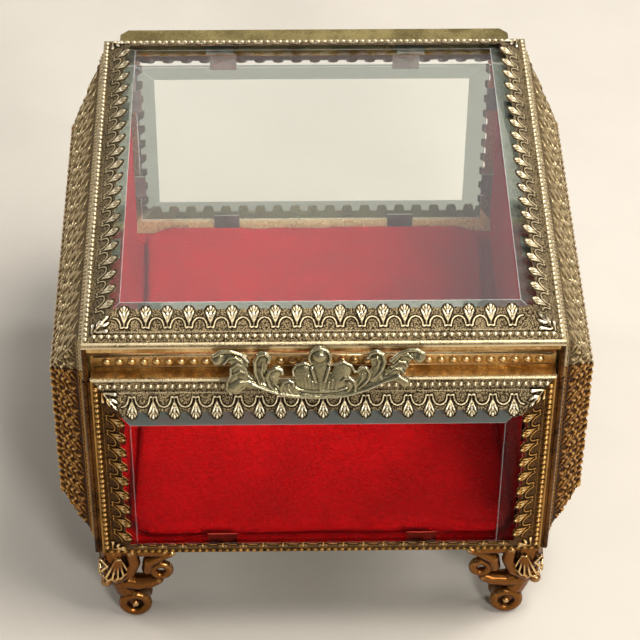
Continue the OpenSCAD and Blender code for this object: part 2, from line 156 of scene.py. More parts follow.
class Graph:
    """The node tree of a new material or world."""

    def __init__(self, owner: bpy.types.ID) -> None:
        """Args: owner: what the tree belongs to."""
        self.owner = owner
        owner.use_nodes = True
        self.tree = owner.node_tree
        self.tree.nodes.clear()

    def node(self, kind: str, inputs: dict | None = None, **settings: object) -> bpy.types.Node:
        """Adds a node.

        Args:
            kind: the node's type, without its ShaderNode.
            inputs: numbers, colours, wires or sockets, by the input's name or number.
            settings: attributes that are set first.

        Returns: the node.
        """
        node = self.tree.nodes.new(f"ShaderNode{kind}")
        for name, value in settings.items():
            setattr(node, name, value)
        for name, value in (inputs or {}).items():
            if isinstance(value, Wire):
                self.tree.links.new(value.socket, node.inputs[name])
            else:
                node.inputs[name].default_value = (*value, 1) if isinstance(value, tuple) else value
        return node

    def value(
        self, kind: str, inputs: dict | None = None, output: int | str = 0, **settings: object
    ) -> Wire:
        """Returns: one output of a new node."""
        return Wire(self, self.node(kind, inputs, **settings).outputs[output])

    @cached_property
    def place(self) -> Wire:
        """Returns: the place on the object."""
        return self.value("TexCoord", None, "Object")

    def noise(self, scale: float, detail: float = 3, rough: float = 0.55) -> Wire:
        """Returns: noise over the object, scale being its cells to a metre."""
        shape = {"Vector": self.place, "Scale": scale, "Detail": detail, "Roughness": rough}
        return self.value("TexNoise", shape)

    def cells(self, scale: float) -> Wire:
        """Returns: the distance to scattered points, scale being their number to a metre."""
        return self.value("TexVoronoi", {"Vector": self.place, "Scale": scale}, "Distance")

    def attribute(self, name: str) -> Wire:
        """Returns: a number kept on the piece's vertices."""
        return self.value("Attribute", None, "Fac", attribute_name=name)

    def blend(self, amount: Wire, low: Point | Wire, high: Point | Wire) -> Wire:
        """Returns: the colour low where amount is 0 and high where it is 1."""
        return self.value("Mix", {0: amount, 6: low, 7: high}, 2, data_type="RGBA")

    def bump(self, height: Wire, distance: float, strength: float) -> Wire:
        """Returns: a normal bumped by height, whose full rise is distance in metres."""
        return self.value("Bump", {"Height": height, "Distance": distance, "Strength": strength})

    def principled(self, inputs: dict) -> Wire:
        """Returns: a Principled shader."""
        return self.value("BsdfPrincipled", inputs)

    def mix(self, amount: Wire, low: Wire, high: Wire) -> Wire:
        """Returns: the shader low where amount is 0 and high where it is 1."""
        return self.value("MixShader", {0: amount, 1: low, 2: high})


# ---------------------------------------------------------------- finishes


@dataclass(frozen=True)
class Finish:
    """What a piece is made of: a material's name and the slot that its pieces declare."""

    name: str
    slot: str

    def shader(self, graph: Graph) -> Wire:
        """Returns: the finish's shader, which each kind of finish builds."""
        raise NotImplementedError


@dataclass(frozen=True)
class StampedGilt(Finish):
    """Antique gilt on stamped sheet: dark in the recesses, pale on the ridges, by the relief attribute; the
    dark rings round raised strokes are painted shadow.
    """

    recess: Point
    ground: Point
    gilt: Point
    ridge: Point
    stipple: float = 2600

    def shader(self, graph: Graph) -> Wire:
        """Returns: gilt, by the relief."""
        relief = graph.attribute(RELIEF)
        blotch = graph.noise(160, 4, 0.6)
        fine = graph.cells(self.stipple)
        grain = graph.noise(1400, 2)
        floor = (1 - fine.rise(0.1, 0.8)) * 0.9 + (blotch - 0.4) * 0.6
        # Negative relief, where the strips paint a shadow round raised strokes, takes the recess colour.
        low = graph.blend(relief.rise(-0.6, 0.0), self.recess, graph.blend(floor, self.recess, self.ground))
        mid = graph.blend((relief + (blotch - 0.5) * 0.35).rise(0.08, 0.5), low, self.gilt)
        return graph.principled({
            "Base Color": graph.blend((relief + (grain - 0.5) * 0.3).rise(0.6, 1.0), mid, self.ridge),
            "Metallic": 0.97,
            "Roughness": 0.54 - relief.rise(0.1, 0.9) * 0.26 + (blotch - 0.5) * 0.2,
            "Normal": graph.bump((1 - fine) * (1 - relief.rise(0.1, 0.5)) + grain * 0.2, 0.00026, 0.8),
        })


@dataclass(frozen=True)
class CastMetal(Finish):
    """A worn casting whose hollows have kept a darker tone, by the relief attribute."""

    hollow: Point
    body: Point
    ridge: Point
    roughness: float

    def shader(self, graph: Graph) -> Wire:
        """Returns: cast metal, by the relief."""
        relief = graph.attribute(RELIEF)
        blotch = graph.noise(220, 4, 0.6)
        grain = graph.noise(1800, 3)
        low = graph.blend((relief + (blotch - 0.5) * 0.4).rise(0.12, 0.5), self.hollow, self.body)
        return graph.principled({
            "Base Color": graph.blend((relief + (grain - 0.5) * 0.25).rise(0.55, 0.95), low, self.ridge),
            "Metallic": 0.95,
            "Roughness": self.roughness + (blotch - 0.5) * 0.25 - relief.rise(0.5, 1) * 0.1,
            "Normal": graph.bump(grain * 0.4 + blotch, 0.00025, 0.5),
        })


@dataclass(frozen=True)
class PlainMetal(Finish):
    """Smooth sheet metal with a patchy tarnish, for pieces that have no relief."""

    dark: Point
    light: Point
    roughness: float
    metallic: float = 0.95

    def shader(self, graph: Graph) -> Wire:
        """Returns: tarnished metal."""
        blotch = graph.noise(120, 5, 0.65)
        grain = graph.noise(1500, 3)
        return graph.principled({
            "Base Color": graph.blend((blotch + (grain - 0.5) * 0.5).rise(0.3, 0.7), self.dark, self.light),
            "Metallic": self.metallic,
            "Roughness": self.roughness + (blotch - 0.5) * 0.3,
            "Normal": graph.bump(grain * 0.5 + blotch, 0.00015, 0.5),
        })


@dataclass(frozen=True)
class Velvet(Finish):
    """Short red pile that lies a little unevenly."""

    deep: Point = (0.15, 0.001, 0.001)
    bright: Point = (0.29, 0.002, 0.003)
    sheen: Point = (0.9, 0.02, 0.03)

    def shader(self, graph: Graph) -> Wire:
        """Returns: velvet."""
        lay = graph.noise(70, 4, 0.6)
        pile = graph.noise(2600, 2)
        tufts = graph.noise(1000, 3, 0.75)
        return graph.principled({
            "Base Color": graph.blend((lay * 0.3 + tufts * 0.7).rise(0.34, 0.66), self.deep, self.bright),
            "Roughness": 0.92,
            "Sheen Weight": 0.1,
            "Sheen Roughness": 0.5,
            "Sheen Tint": self.sheen,
            "Specular IOR Level": 0.02,
            "Normal": graph.bump(pile * 0.6 + tufts, 0.0006, 0.8),
        })


@dataclass(frozen=True)
class ClearGlass(Finish):
    """Clear pane whose ground bevels are tinted and cloudy, whose up-facing bevels carry a painted reflection
    of the light above and whose arrises carry a painted highlight.

    The bevels are found by the object's own normal, so every pane's flat faces look along y or z.
    """

    ior: float = 1.06
    tint: Point = (0.93, 0.945, 0.92)
    bevel: Point = (0.22, 0.27, 0.23)
    veil: Point = (0.16, 0.175, 0.15)
    cloud: float = 0.3
    sky: float = 0.0
    arris: float = 0.0003
    painted_glint: float = 0.5
    # The colour of the painted highlight on the arrises.
    bright: Point = (0.82, 0.82, 0.8)
    shade: Point = (0.95, 0.97, 0.96)

    def shader(self, graph: Graph) -> Wire:
        """Returns: the pane, which lets light through to what lies behind it."""
        smear = graph.noise(90, 3)
        parts = graph.node("SeparateXYZ", {0: graph.value("TexCoord", None, "Normal")})
        y, z = (Wire(graph, parts.outputs[axis]) for axis in "YZ")
        flat = (y * y * y * y + z * z * z * z).rise(0.9, 0.985)
        pane = graph.principled({
            "Base Color": graph.blend(flat, self.bevel, self.tint),
            "Transmission Weight": 1.0,
            "IOR": self.ior,
            "Roughness": smear.rise(0.45, 0.8) * 0.02 + (1 - flat) * 0.05,
        })
        ground = graph.principled({"Base Color": self.veil, "Roughness": 0.35})
        # Up-facing bevel faces take the frost colour as a painted reflection of the light above, on top of
        # their frost.
        painted_sky_mask = z.rise(0.02, 0.1) * (1 - z.rise(0.5, 0.6))
        frost_and_painted_sky = (1 - flat) * (self.cloud + painted_sky_mask * self.sky) * (0.8 + smear * 0.4)
        # Arrises, where the rounded normal parts from the true one, get a pale diffuse surface: a painted
        # highlight.
        rounded = graph.value("Bevel", {"Radius": self.arris}, samples=4)
        facing = graph.value("NewGeometry", None, "True Normal")
        apart = 1 - graph.value("VectorMath", {0: rounded, 1: facing}, "Value", operation="DOT_PRODUCT")
        edge = graph.principled({"Base Color": self.bright, "Roughness": 0.4})
        edged = graph.mix(apart.rise(0.0003, 0.002) * self.painted_glint, graph.mix(frost_and_painted_sky, pane, ground), edge)
        shaded = graph.value("BsdfTransparent", {"Color": self.shade})
        return graph.mix(graph.value("LightPath", None, "Is Shadow Ray"), edged, shaded)


@dataclass(frozen=True)
class PlainBoard(Finish):
    """The matt floor that the casket stands on."""

    colour: Point
    shade: float = 0.97

    def shader(self, graph: Graph) -> Wire:
        """Returns: a matt board, faintly mottled."""
        darker = tuple(self.shade * part for part in self.colour)
        return graph.principled({
            "Base Color": graph.blend(graph.noise(40, 4).rise(0.3, 0.7), darker, self.colour),
            "Roughness": 0.8,
            "Normal": graph.bump(graph.noise(900), 0.0001, 0.4),
        })


GILT = StampedGilt(
    "stamped gilt", "gilt_brass",
    recess=(0.018, 0.011, 0.005), ground=(0.38, 0.285, 0.152),
    gilt=(0.63, 0.515, 0.315), ridge=(0.98, 0.92, 0.74),
)
# A darker, browner copy of the gilt for the stiles, the bottom strip and the back strips, which face the
# floor: painted reflection of a dark, shadowed floor.
FLOOR_REFLECTION_GILT = StampedGilt(
    "gilt with painted floor reflection", "gilt_brass",
    recess=(0.010, 0.003, 0.001), ground=(0.18, 0.078, 0.014),
    gilt=(0.50, 0.265, 0.066), ridge=(0.98, 0.79, 0.44),
)
SIDE_GILT = StampedGilt(
    "side gilt", "gilt_brass",
    recess=(0.014, 0.004, 0.001), ground=(0.13, 0.048, 0.008),
    gilt=(0.28, 0.12, 0.022), ridge=(0.62, 0.38, 0.12),
    stipple=1900,
)
WING_GILT = StampedGilt(
    "wing gilt", "gilt_brass",
    recess=(0.06, 0.040, 0.018), ground=(0.26, 0.18, 0.08),
    gilt=(0.38, 0.275, 0.13), ridge=(0.76, 0.62, 0.38),
    stipple=1900,
)
COLLAR_GILT = StampedGilt(
    "collar gilt", "gilt_brass",
    recess=(0.03, 0.012, 0.003), ground=(0.20, 0.095, 0.02),
    gilt=(0.62, 0.36, 0.11), ridge=(0.98, 0.84, 0.55),
)
POST_GILT = PlainMetal("ochre gilt", "gilt_brass", (0.02, 0.007, 0.001), (0.14, 0.054, 0.010), 0.3)
LIP_GILT = PlainMetal("orange gilt", "gilt_brass", (0.30, 0.155, 0.042), (0.64, 0.43, 0.18), 0.34)
OLIVE = PlainMetal("olive sheet", "dull_sheet", (0.15, 0.11, 0.035), (0.34, 0.27, 0.105), 0.5, 0.85)
# Copper tabs behind the front pane, coloured deep red as painted light from the velvet around them.
VELVET_LIT_TAB = PlainMetal("copper tabs with painted red light", "dull_sheet", (0.30, 0.018, 0.010), (0.42, 0.035, 0.018), 0.55, 0.8)
TAB = PlainMetal("dull tabs", "dull_sheet", (0.20, 0.20, 0.165), (0.34, 0.33, 0.27), 0.5, 0.7)
BRONZE = CastMetal(
    "cast bronze", "cast_bronze",
    hollow=(0.012, 0.004, 0.001), body=(0.19, 0.070, 0.014), ridge=(0.80, 0.56, 0.26), roughness=0.3,
)
PEWTER = CastMetal(
    "worn casting", "cast_pull",
    hollow=(0.05, 0.041, 0.018), body=(0.34, 0.295, 0.17), ridge=(0.98, 0.94, 0.80), roughness=0.26,
)
VELVET = Velvet("red velvet", "velvet")
BOARD = Velvet("covered board", "board")
# The front pane's bevels are barely frosted; its up-facing bevels get a painted reflection of the light
# above.
GLASS = ClearGlass(
    "clear glass", "glass", bevel=(0.8, 0.76, 0.74), veil=(0.075, 0.09, 0.078),
    cloud=0.05, sky=0.9, painted_glint=0.28,
)
BACK_GLASS = ClearGlass("back glass", "glass", cloud=0.2)
LID_GLASS = ClearGlass("lid glass", "glass", ior=1.47)


@cache
def wear(finish: Finish) -> bpy.types.Material:
    """Returns: the finish's material, built at its first use."""
    graph = Graph(bpy.data.materials.new(finish.name))
    graph.node("OutputMaterial", {"Surface": finish.shader(graph)})
    return graph.owner


# ---------------------------------------------------------------- meshes and objects


def to_mesh(name: str, bm: BMesh) -> bpy.types.Mesh:
    """Returns: a bmesh as a mesh. The bmesh is freed."""
    mesh = bpy.data.meshes.new(name)
    bm.to_mesh(mesh)
    bm.free()
    return mesh


def from_mesh(mesh: bpy.types.Mesh, bm: BMesh | None = None) -> BMesh:
    """Returns: a mesh as a new bmesh, or added to an old one. The mesh is removed."""
    if bm is None:
        bm = bmesh.new()
    bm.from_mesh(mesh)
    bpy.data.meshes.remove(mesh)
    return bm


def join(bm: BMesh, part: BMesh) -> None:
    """Adds one shape to another and frees it."""
    from_mesh(to_mesh("part", part), bm)


def add_object(name: str, data: bpy.types.ID | None) -> bpy.types.Object:
    """Returns: a new object in the scene."""
    made = bpy.data.objects.new(name, data)
    bpy.context.scene.collection.objects.link(made)
    return made


def add_piece(name: str, bm: BMesh, finish: Finish, body: Body, *replaced: str) -> bpy.types.Object:
    """Turns a bmesh in casket millimetres into a dressed piece.

    Args:
        name: the piece's name.
        bm: its shape, which is freed.
        finish: the finish that it takes.
        body: the body that it rides on.
        replaced: CAD nodes that it stands for.

    Returns: the piece.
    """
    bm.transform(LAYOUT.metres())
    for face in bm.faces:
        face.smooth = True
    mesh = to_mesh(name, bm)
    mesh.materials.append(wear(finish))
    piece = add_object(name, mesh)
    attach(piece, body.value)
    if replaced:
        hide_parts(*replaced)
    LOG.info("%s: %d faces", name, len(mesh.polygons))
    return piece


def evaluated(thing: bpy.types.Object) -> bpy.types.Object:
    """Returns: an object with its modifiers worked out."""
    return thing.evaluated_get(bpy.context.evaluated_depsgraph_get())


def voxel_skin(bm: BMesh, voxel: float) -> bpy.types.Mesh:
    """Fuses a shape into one evenly meshed skin.

    Args:
        bm: the shape, which is freed.
        voxel: the size of the skin's cells.

    Returns: the skin.
    """
    rough = add_object("rough", to_mesh("rough", bm))
    remesh = rough.modifiers.new("skin", "REMESH")
    remesh.mode = "VOXEL"
    remesh.voxel_size = voxel
    skin = bpy.data.meshes.new_from_object(evaluated(rough))
    bpy.data.meshes.remove(rough.data)
    return skin


def relax(bm: BMesh) -> None:
    """Smooths a shape by one step."""
    bmesh.ops.smooth_vert(bm, verts=bm.verts, factor=0.5, use_axis_x=True, use_axis_y=True, use_axis_z=True)


def rod(bm: BMesh, radii: Point, length: float, seat: Matrix, segments: int) -> Sequence[BMVert]:
    """Adds a straight rod, which may taper.

    Args:
        bm: the shape that it is added to.
        radii: its radius at the start and at the end.
        length: its length, along its seat's z and centred on it.
        seat: its place.
        segments: the number of its sides.

    Returns: its vertices.
    """
    return bmesh.ops.create_cone(
        bm, cap_ends=True, segments=segments, radius1=radii[0], radius2=radii[1], depth=length, matrix=seat
    )["verts"]


def sharpen(items: Iterable) -> list[BMEdge]:
    """Returns: the edges among some items, made sharp."""
    edges = [item for item in items if isinstance(item, BMEdge)]
    for edge in edges:
        edge.smooth = False
    return edges


def trim(bm: BMesh, point: Point, outward: Point) -> list[BMEdge]:
    """Cuts away what lies beyond a plane.

    Args:
        bm: the shape to cut.
        point: a point of the plane.
        outward: the plane's normal, towards what is cut away.

    Returns: the edges along the cut.
    """
    geometry = [*bm.verts, *bm.edges, *bm.faces]
    made = bmesh.ops.bisect_plane(
        bm, geom=geometry, dist=1e-5, plane_co=point, plane_no=outward, clear_outer=True
    )
    return sharpen(made["geom_cut"])


def close_back(bm: BMesh, depth: Callable[[Vector], float], tone: float = 0.8) -> None:
    """Closes an open sheet with walls down to a flat back.

    Args:
        bm: the sheet, facing up.
        depth: gives the height of the back below a vertex.
        tone: the relief attribute on the back.
    """
    rim = sharpen(edge for edge in bm.edges if edge.is_boundary)
    made = bmesh.ops.extrude_edge_only(bm, edges=rim)["geom"]
    layer = bm.verts.layers.float[RELIEF]
    for vert in (item for item in made if isinstance(item, BMVert)):
        vert.co.z = depth(vert.co)
        vert[layer] = tone
    loop = sharpen(item for item in made if isinstance(item, BMEdge) and item.is_boundary)
    bmesh.ops.edgeloop_fill(bm, edges=loop)
    bmesh.ops.recalc_face_normals(bm, faces=bm.faces[:])


def bead_row(places: Sequence[Point], radius: float, squash: Point = (1, 1, 1), tone: float = 0.9) -> BMesh:
    """Makes small domed beads.

    Args:
        places: their centres.
        radius: their radius.
        squash: how much they are flattened along each axis.
        tone: the relief attribute on their tops.

    Returns: the beads as one shape.
    """
    bm = bmesh.new()
    layer = bm.verts.layers.float.new(RELIEF)
    for place in places:
        for vert in bmesh.ops.create_uvsphere(bm, u_segments=10, v_segments=6, radius=radius)["verts"]:
            vert[layer] = tone * min(1.0, max(0.0, 0.3 + 0.8 * max(vert.co.z, -vert.co.y) / radius))
            vert.co = Vector(place) + Vector(c * k for c, k in zip(vert.co, squash))
    return bm


# ---------------------------------------------------------------- relief

@dataclass(frozen=True)
class Stroke:
    """A raised line of half-round section through points (across, along, radius)."""

    points: tuple[Point, ...]
    lift: float = 1.0

    def height(self, u: Array, v: Array, grow: float = 0.0) -> Array:
        """Returns: the stroke's height at the places u, v, and 0 beside it. grow adds to its radius."""
        best = np.zeros_like(u)
        for (u0, v0, r0), (u1, v1, r1) in zip(self.points, self.points[1:]):
            du, dv = u1 - u0, v1 - v0
            t = np.clip(((u - u0) * du + (v - v0) * dv) / (du * du + dv * dv), 0, 1)
            radius = r0 + t * (r1 - r0) + grow
            gap = (u - u0 - t * du) ** 2 + (v - v0 - t * dv) ** 2
            best = np.maximum(best, np.sqrt(np.maximum(radius * radius - gap, 0)))
        return best * self.lift


def highest(strokes: Sequence[Stroke], u: Array, v: Array, grow: float = 0.0) -> Array:
    """Returns: the height of the highest stroke at the places u, v."""
    return np.maximum.reduce([stroke.height(u, v, grow) for stroke in strokes])


def long_stroke(across: float, radius: float) -> Stroke:
    """Returns: a straight stroke that runs past both ends of any sheet."""
    past = 999
    return Stroke(((-past, across, radius), (past, across, radius)))


@dataclass(frozen=True)
class Leaf:
    """The stamped leaf between two arched tendrils that every strip repeats."""

    pitch: float = 4.93
    tip: float = 9.72
    tip_radius: float = 1.42
    root: float = 7.75

    def strokes(self) -> tuple[Stroke, ...]:
        """Returns: half of the leaf, for u from 0 to half the pitch."""
        half = self.pitch / 2
        return (
            Stroke(((0, 4.9, 0.13), (0, 6.2, 0.2), (0, 6.6, 0.12))),
            Stroke(((0, 6.7, 0.2), (0, 7.5, 0.36), (0, 8.2, 0.2)), 1.15),
            Stroke(((0, 8.6, 0.22), (0, 9.1, 0.36), (0, 9.5, 0.18)), 1.15),
            Stroke(((0.14, 5.7, 0.13), (0.52, 6.9, 0.24), (0.86, 7.8, 0.27), (1.14, 8.6, 0.12)), 1.2),
            Stroke(((0.34, 8.1, 0.16), (0.62, 8.7, 0.25), (0.7, 9.2, 0.12)), 1.1),
            Stroke(((0, 4.62, 0.17), (0.42, 4.38, 0.22), (0.72, 4.42, 0.22))),
            Stroke(((0.76, 4.4, 0.18), (0.84, 5.2, 0.19), (1.12, 5.95, 0.21), (1.6, 6.5, 0.21),
                    (half, 6.78, 0.19))),
        )

    def height(self, u: Array, s: Array, grow: float = 0.0) -> Array:
        """Returns: the height at u from a leaf's middle line and s from the strip's outer edge."""
        return highest(self.strokes(), np.abs(u), s, grow)

    def edge(self, u: Array) -> Array:
        """Returns: where the scalloped edge lies at u from a leaf's middle line."""
        lobe = self.tip + 0.1 - self.tip_radius + np.sqrt(np.maximum(self.tip_radius**2 - u * u, 0))
        between = self.root + 0.25 * np.abs(np.sin(math.pi * (u - self.tip_radius)))
        return np.where(np.abs(u) < self.tip_radius, lobe, between)


def press_sheet(
    length: float,
    rows: Array,
    cell: float,
    relief: Callable[[Array, Array], tuple[Array, Array]],
    edge: Callable[[Array], Array] | None = None,
) -> BMesh:
    """Presses a pattern into a flat sheet that lies along x, with its rows along y.

    Args:
        length: the sheet's length, its middle on x = 0.
        rows: the y of each row of vertices.
        cell: the spacing of vertices along x.
        relief: gives the heights and the relief attribute at places x, y.
        edge: gives the y where the last row lies, if the edge isn't straight.

    Returns: the sheet, open at the back, with the relief attribute on its vertices.
    """
    columns = max(2, round(length / cell))
    bm = bmesh.new()
    bmesh.ops.create_grid(bm, x_segments=columns, y_segments=len(rows) - 1, size=0.5)
    layer = bm.verts.layers.float.new(RELIEF)
    place = np.array([vert.co[:2] for vert in bm.verts])
    x = place[:, 0] * length
    low, high = place[:, 1].min(), place[:, 1].max()
    share = (place[:, 1] - low) / (high - low) * (len(rows) - 1)
    y = np.interp(share, np.arange(len(rows)), rows)
    if edge is not None:
        start = rows[0] + 0.6 * (rows[-1] - rows[0])
        reach = edge(x)
        y = np.where(y > start, start + (y - start) * (reach - start) / (rows[-1] - start), y)
    z, shade = relief(x, y)
    for vert, cx, cy, cz, tone in zip(bm.verts, x, y, z, shade):
        vert.co = (cx, cy, cz)
        vert[layer] = tone
    return bm


# ---------------------------------------------------------------- stamped strips


@dataclass(frozen=True)
class StripStyle:
    """The section and the ornament that all twelve stamped strips share."""

    run: float = 7.6
    rise: float = 5.1
    fold: float = 1.0
    sheet: float = 0.6
    base: float = -0.28
    bead_line: float = 2.0
    bead_pitch: float = 1.65
    bead_radius: float = 0.6
    bead_tone: float = 0.72
    rim_line: float = 0.5
    rim_radius: float = 0.52
    rim_end: float = 1.05
    rim_tone: float = 0.42
    back_tone: float = 0.8
    line: float = 3.4
    # Width of the shallow groove with painted shadow round every raised stroke.
    shadow_moat: float = 0.28
    root: float = 7.75
    cell: float = 0.165

    @property
    def tilt(self) -> float:
        """Returns: the slope of the strip."""
        return math.atan2(self.rise, self.run)

    @property
    def slant(self) -> float:
        """Returns: the width of the strip along its slope."""
        return math.hypot(self.run, self.rise)


@dataclass(frozen=True)
class Strip:
    """One mitred strip, lying along x with its outer edge on y = 0 and its leaf tips up on y = run."""

    style: StripStyle
    length: float
    leaves: int
    shift: float = 0.0
    slide: float = 0.0
    pitch: float | None = None

    def _leaf(self) -> Leaf:
        """Returns: the leaf at this strip's pitch."""
        pitch = self.pitch or (self.length - 2 * self.style.run) / self.leaves
        return Leaf(pitch=pitch, root=self.style.root)

    def _across(self, x: Array, leaf: Leaf) -> Array:
        """Returns: the distance from the nearest leaf's middle line."""
        last = (self.leaves - 1) / 2
        number = np.clip(np.rint((x - self.slide) / leaf.pitch + last), 0, 2 * last)
        return x - self.slide - (number - last) * leaf.pitch

    def _corner(self, x: Array, s: Array) -> tuple[Array, Array]:
        """Returns: the distances from the mitre line and, along it, from the pattern's outer corner."""
        end = self.length / 2 - np.abs(x)
        run = s * math.cos(self.style.tilt)
        return np.abs((end - run) / math.sqrt(2)), (end + run) / math.sqrt(2) - self.shift

    def relief(self, x: Array, s: Array) -> tuple[Array, Array]:
        """Returns: the heights and the relief attribute at places along and across the strip."""
        style = self.style
        leaf = self._leaf()
        pattern = s - self.shift
        rim = np.sqrt(np.maximum(style.rim_radius**2 - (s - style.rim_line) ** 2, 0)) * 0.95
        line = long_stroke(style.line, 0.2).height(x, pattern) * 0.7
        groove = 0.14 * np.exp(-(((pattern - style.line + 0.42) / 0.18) ** 2))
        across = self._across(x, leaf)
        off, along = self._corner(x, s)
        raised, wide = (
            np.maximum(leaf.height(across, pattern, grow), highest(CORNER_SPRIG, off, along, grow))
            for grow in (0, style.shadow_moat)
        )
        # The ring round each raised stroke is a shallow groove plus painted shadow: its tone drops into the
        # recess colour.
        shadow_moat = np.where(raised < 0.03, np.clip(wide / style.shadow_moat, 0, 1), 0)
        height = np.maximum.reduce([rim, line, raised])
        tone = np.clip((np.maximum(line, raised) - 0.05) / 0.3, 0, 1) - 2.5 * groove - 0.75 * shadow_moat
        tone = np.where(s < style.rim_end, style.rim_tone - 0.5 * np.abs(s - style.rim_line), tone)
        return style.base + height - groove - 0.1 * shadow_moat, tone

    def build(self) -> BMesh:
        """Returns: the closed strip in its own frame."""
        style = self.style
        leaf = self._leaf()
        rows = np.concatenate([
            np.linspace(0, style.rim_end, 8),
            np.linspace(1.3, 2.8, 5),
            np.linspace(2.9, style.slant, round((style.slant - 2.9) / style.cell)),
        ])

        def edge(x: Array) -> Array:
            """Returns: the scalloped edge, kept whole beside the mitres."""
            reach = np.minimum(leaf.edge(self._across(x, leaf)) + self.shift, style.slant)
            end = self.length / 2 - style.run - np.abs(x)
            return np.where(end < 0.7, style.slant - 0.5, reach)

        bm = press_sheet(self.length, rows, style.cell, self.relief, edge)
        bm.transform(Matrix.Rotation(style.tilt, 4, "X"))
        half = self.length / 2
        trim(bm, (half, 0, 0), (1, 1, 0))
        trim(bm, (-half, 0, 0), (-1, 1, 0))
        slope = (style.rise - style.sheet + style.fold) / style.run
        close_back(bm, lambda co: slope * co.y - style.fold, style.back_tone)
        self._string_beads(bm)
        return bm

    def _string_beads(self, bm: BMesh) -> None:
        """Sets the row of beads beside the rolled rim."""
        style = self.style
        s = style.bead_line + self.shift
        y = s * math.cos(style.tilt)
        z = s * math.sin(style.tilt) + (style.base + 0.1) * math.cos(style.tilt)
        reach = self.length / 2 - y - style.bead_radius
        count = int(2 * reach / style.bead_pitch)
        places = [((index - count / 2) * style.bead_pitch, y, z) for index in range(count + 1)]
        join(bm, bead_row(places, style.bead_radius, tone=style.bead_tone))


CORNER_SPRIG = (
    Stroke(((0, 4.6, 0.2), (0, 5.8, 0.2), (0, 6.6, 0.36), (0, 7.3, 0.26)), 1.1),
    Stroke(((0, 7.6, 0.26), (0, 8.2, 0.4), (0, 8.8, 0.2)), 1.1),
    Stroke(((0.2, 6.0, 0.2), (0.7, 6.7, 0.34), (1.0, 7.5, 0.3), (1.1, 8.0, 0.15)), 1.1),
    Stroke(((0.2, 4.4, 0.2), (0.7, 4.8, 0.22), (1.4, 5.7, 0.28), (1.9, 6.3, 0.4)), 1.1),
)


class StripFrames:
    """The three frames of mitred strips: round the lid's pane and round the front and back panes."""

    words = {
        End.FRONT: ("bottom", "right", "top", "left"),
        End.BACK: ("bottom", "left", "top", "right"),
    }

    def __init__(self, layout: Layout, style: StripStyle) -> None:
        """Args: layout: the casket's sizes. style: the strips' section."""
        self.layout = layout
        self.style = style

    def _turned(self, number: int, reach_x: float, reach_y: float) -> Matrix:
        """Returns: the place of a strip in its frame, which lies flat round the origin."""
        reach = reach_y if number % 2 == 0 else reach_x
        return Matrix.Rotation(number * math.pi / 2, 4, "Z") @ Matrix.Translation((0, -reach, 0))

    def lid(self) -> None:
        """Builds the lid's four strips."""
        layout = self.layout
        half_x, half_y = layout.width / 2, layout.depth / 2
        seat = Matrix.Translation((0, half_y, layout.rim))
        front = replace(self.style, run=8.2, bead_line=2.35, root=8.6)
        for number, word in enumerate(("front", "right", "back", "left")):
            if number % 2 == 0:
                strip = Strip(front, 2 * half_x, 19, slide=-1.19 if number == 0 else 0, pitch=4.887)
            else:
                strip = Strip(self.style, 2 * half_y, 20, shift=-0.75)
            bm = strip.build()
            bm.transform(seat @ self._turned(number, half_x, half_y))
            add_piece(f"lid_strip_{word}", bm, GILT, Body.LID, f"lid_frame_{word}")

    def case(self, end: End) -> None:
        """Builds the four strips round the front or the back pane."""
        layout = self.layout
        reach = layout.width / 2 - 1.5
        proud = 0.8
        height = layout.front_height + proud if end is End.FRONT else layout.back_height
        top = replace(self.style, run=8.3, rise=5.5, back_tone=0.1)
        # The bottom strip faces the floor: its beads and rolled rim take lower tones, as painted shade.
        low = replace(self.style, bead_tone=0.35, rim_tone=0.1)
        stand = Matrix.Translation((0, 0, height / 2)) @ Matrix.Rotation(math.pi / 2, 4, "X")
        if end is End.BACK:
            stand = Matrix.Translation((0, layout.depth, 0)) @ Matrix.Rotation(math.pi, 4, "Z") @ stand
        for number, word in enumerate(self.words[end]):
            long_way = number % 2 == 0
            length = 2 * reach if long_way else height
            leaves = 19 if long_way else (9 if end is End.FRONT else 10)
            if word == "top":
                strip = Strip(top, length, leaves, slide=0.15, pitch=4.86)
            else:
                strip = Strip(low if word == "bottom" else self.style, length, leaves, shift=-0.35, slide=0.2)
            bm = strip.build()
            bm.transform(stand @ self._turned(number, reach, height / 2))
            # Every strip but the front top one takes the gilt with painted floor reflection.
            finish = GILT if end is End.FRONT and word == "top" else FLOOR_REFLECTION_GILT
            add_piece(f"{end.value}_strip_{word}", bm, finish, Body.CASE, f"{end.value}_frame_{word}")


# ---------------------------------------------------------------- embossed sides


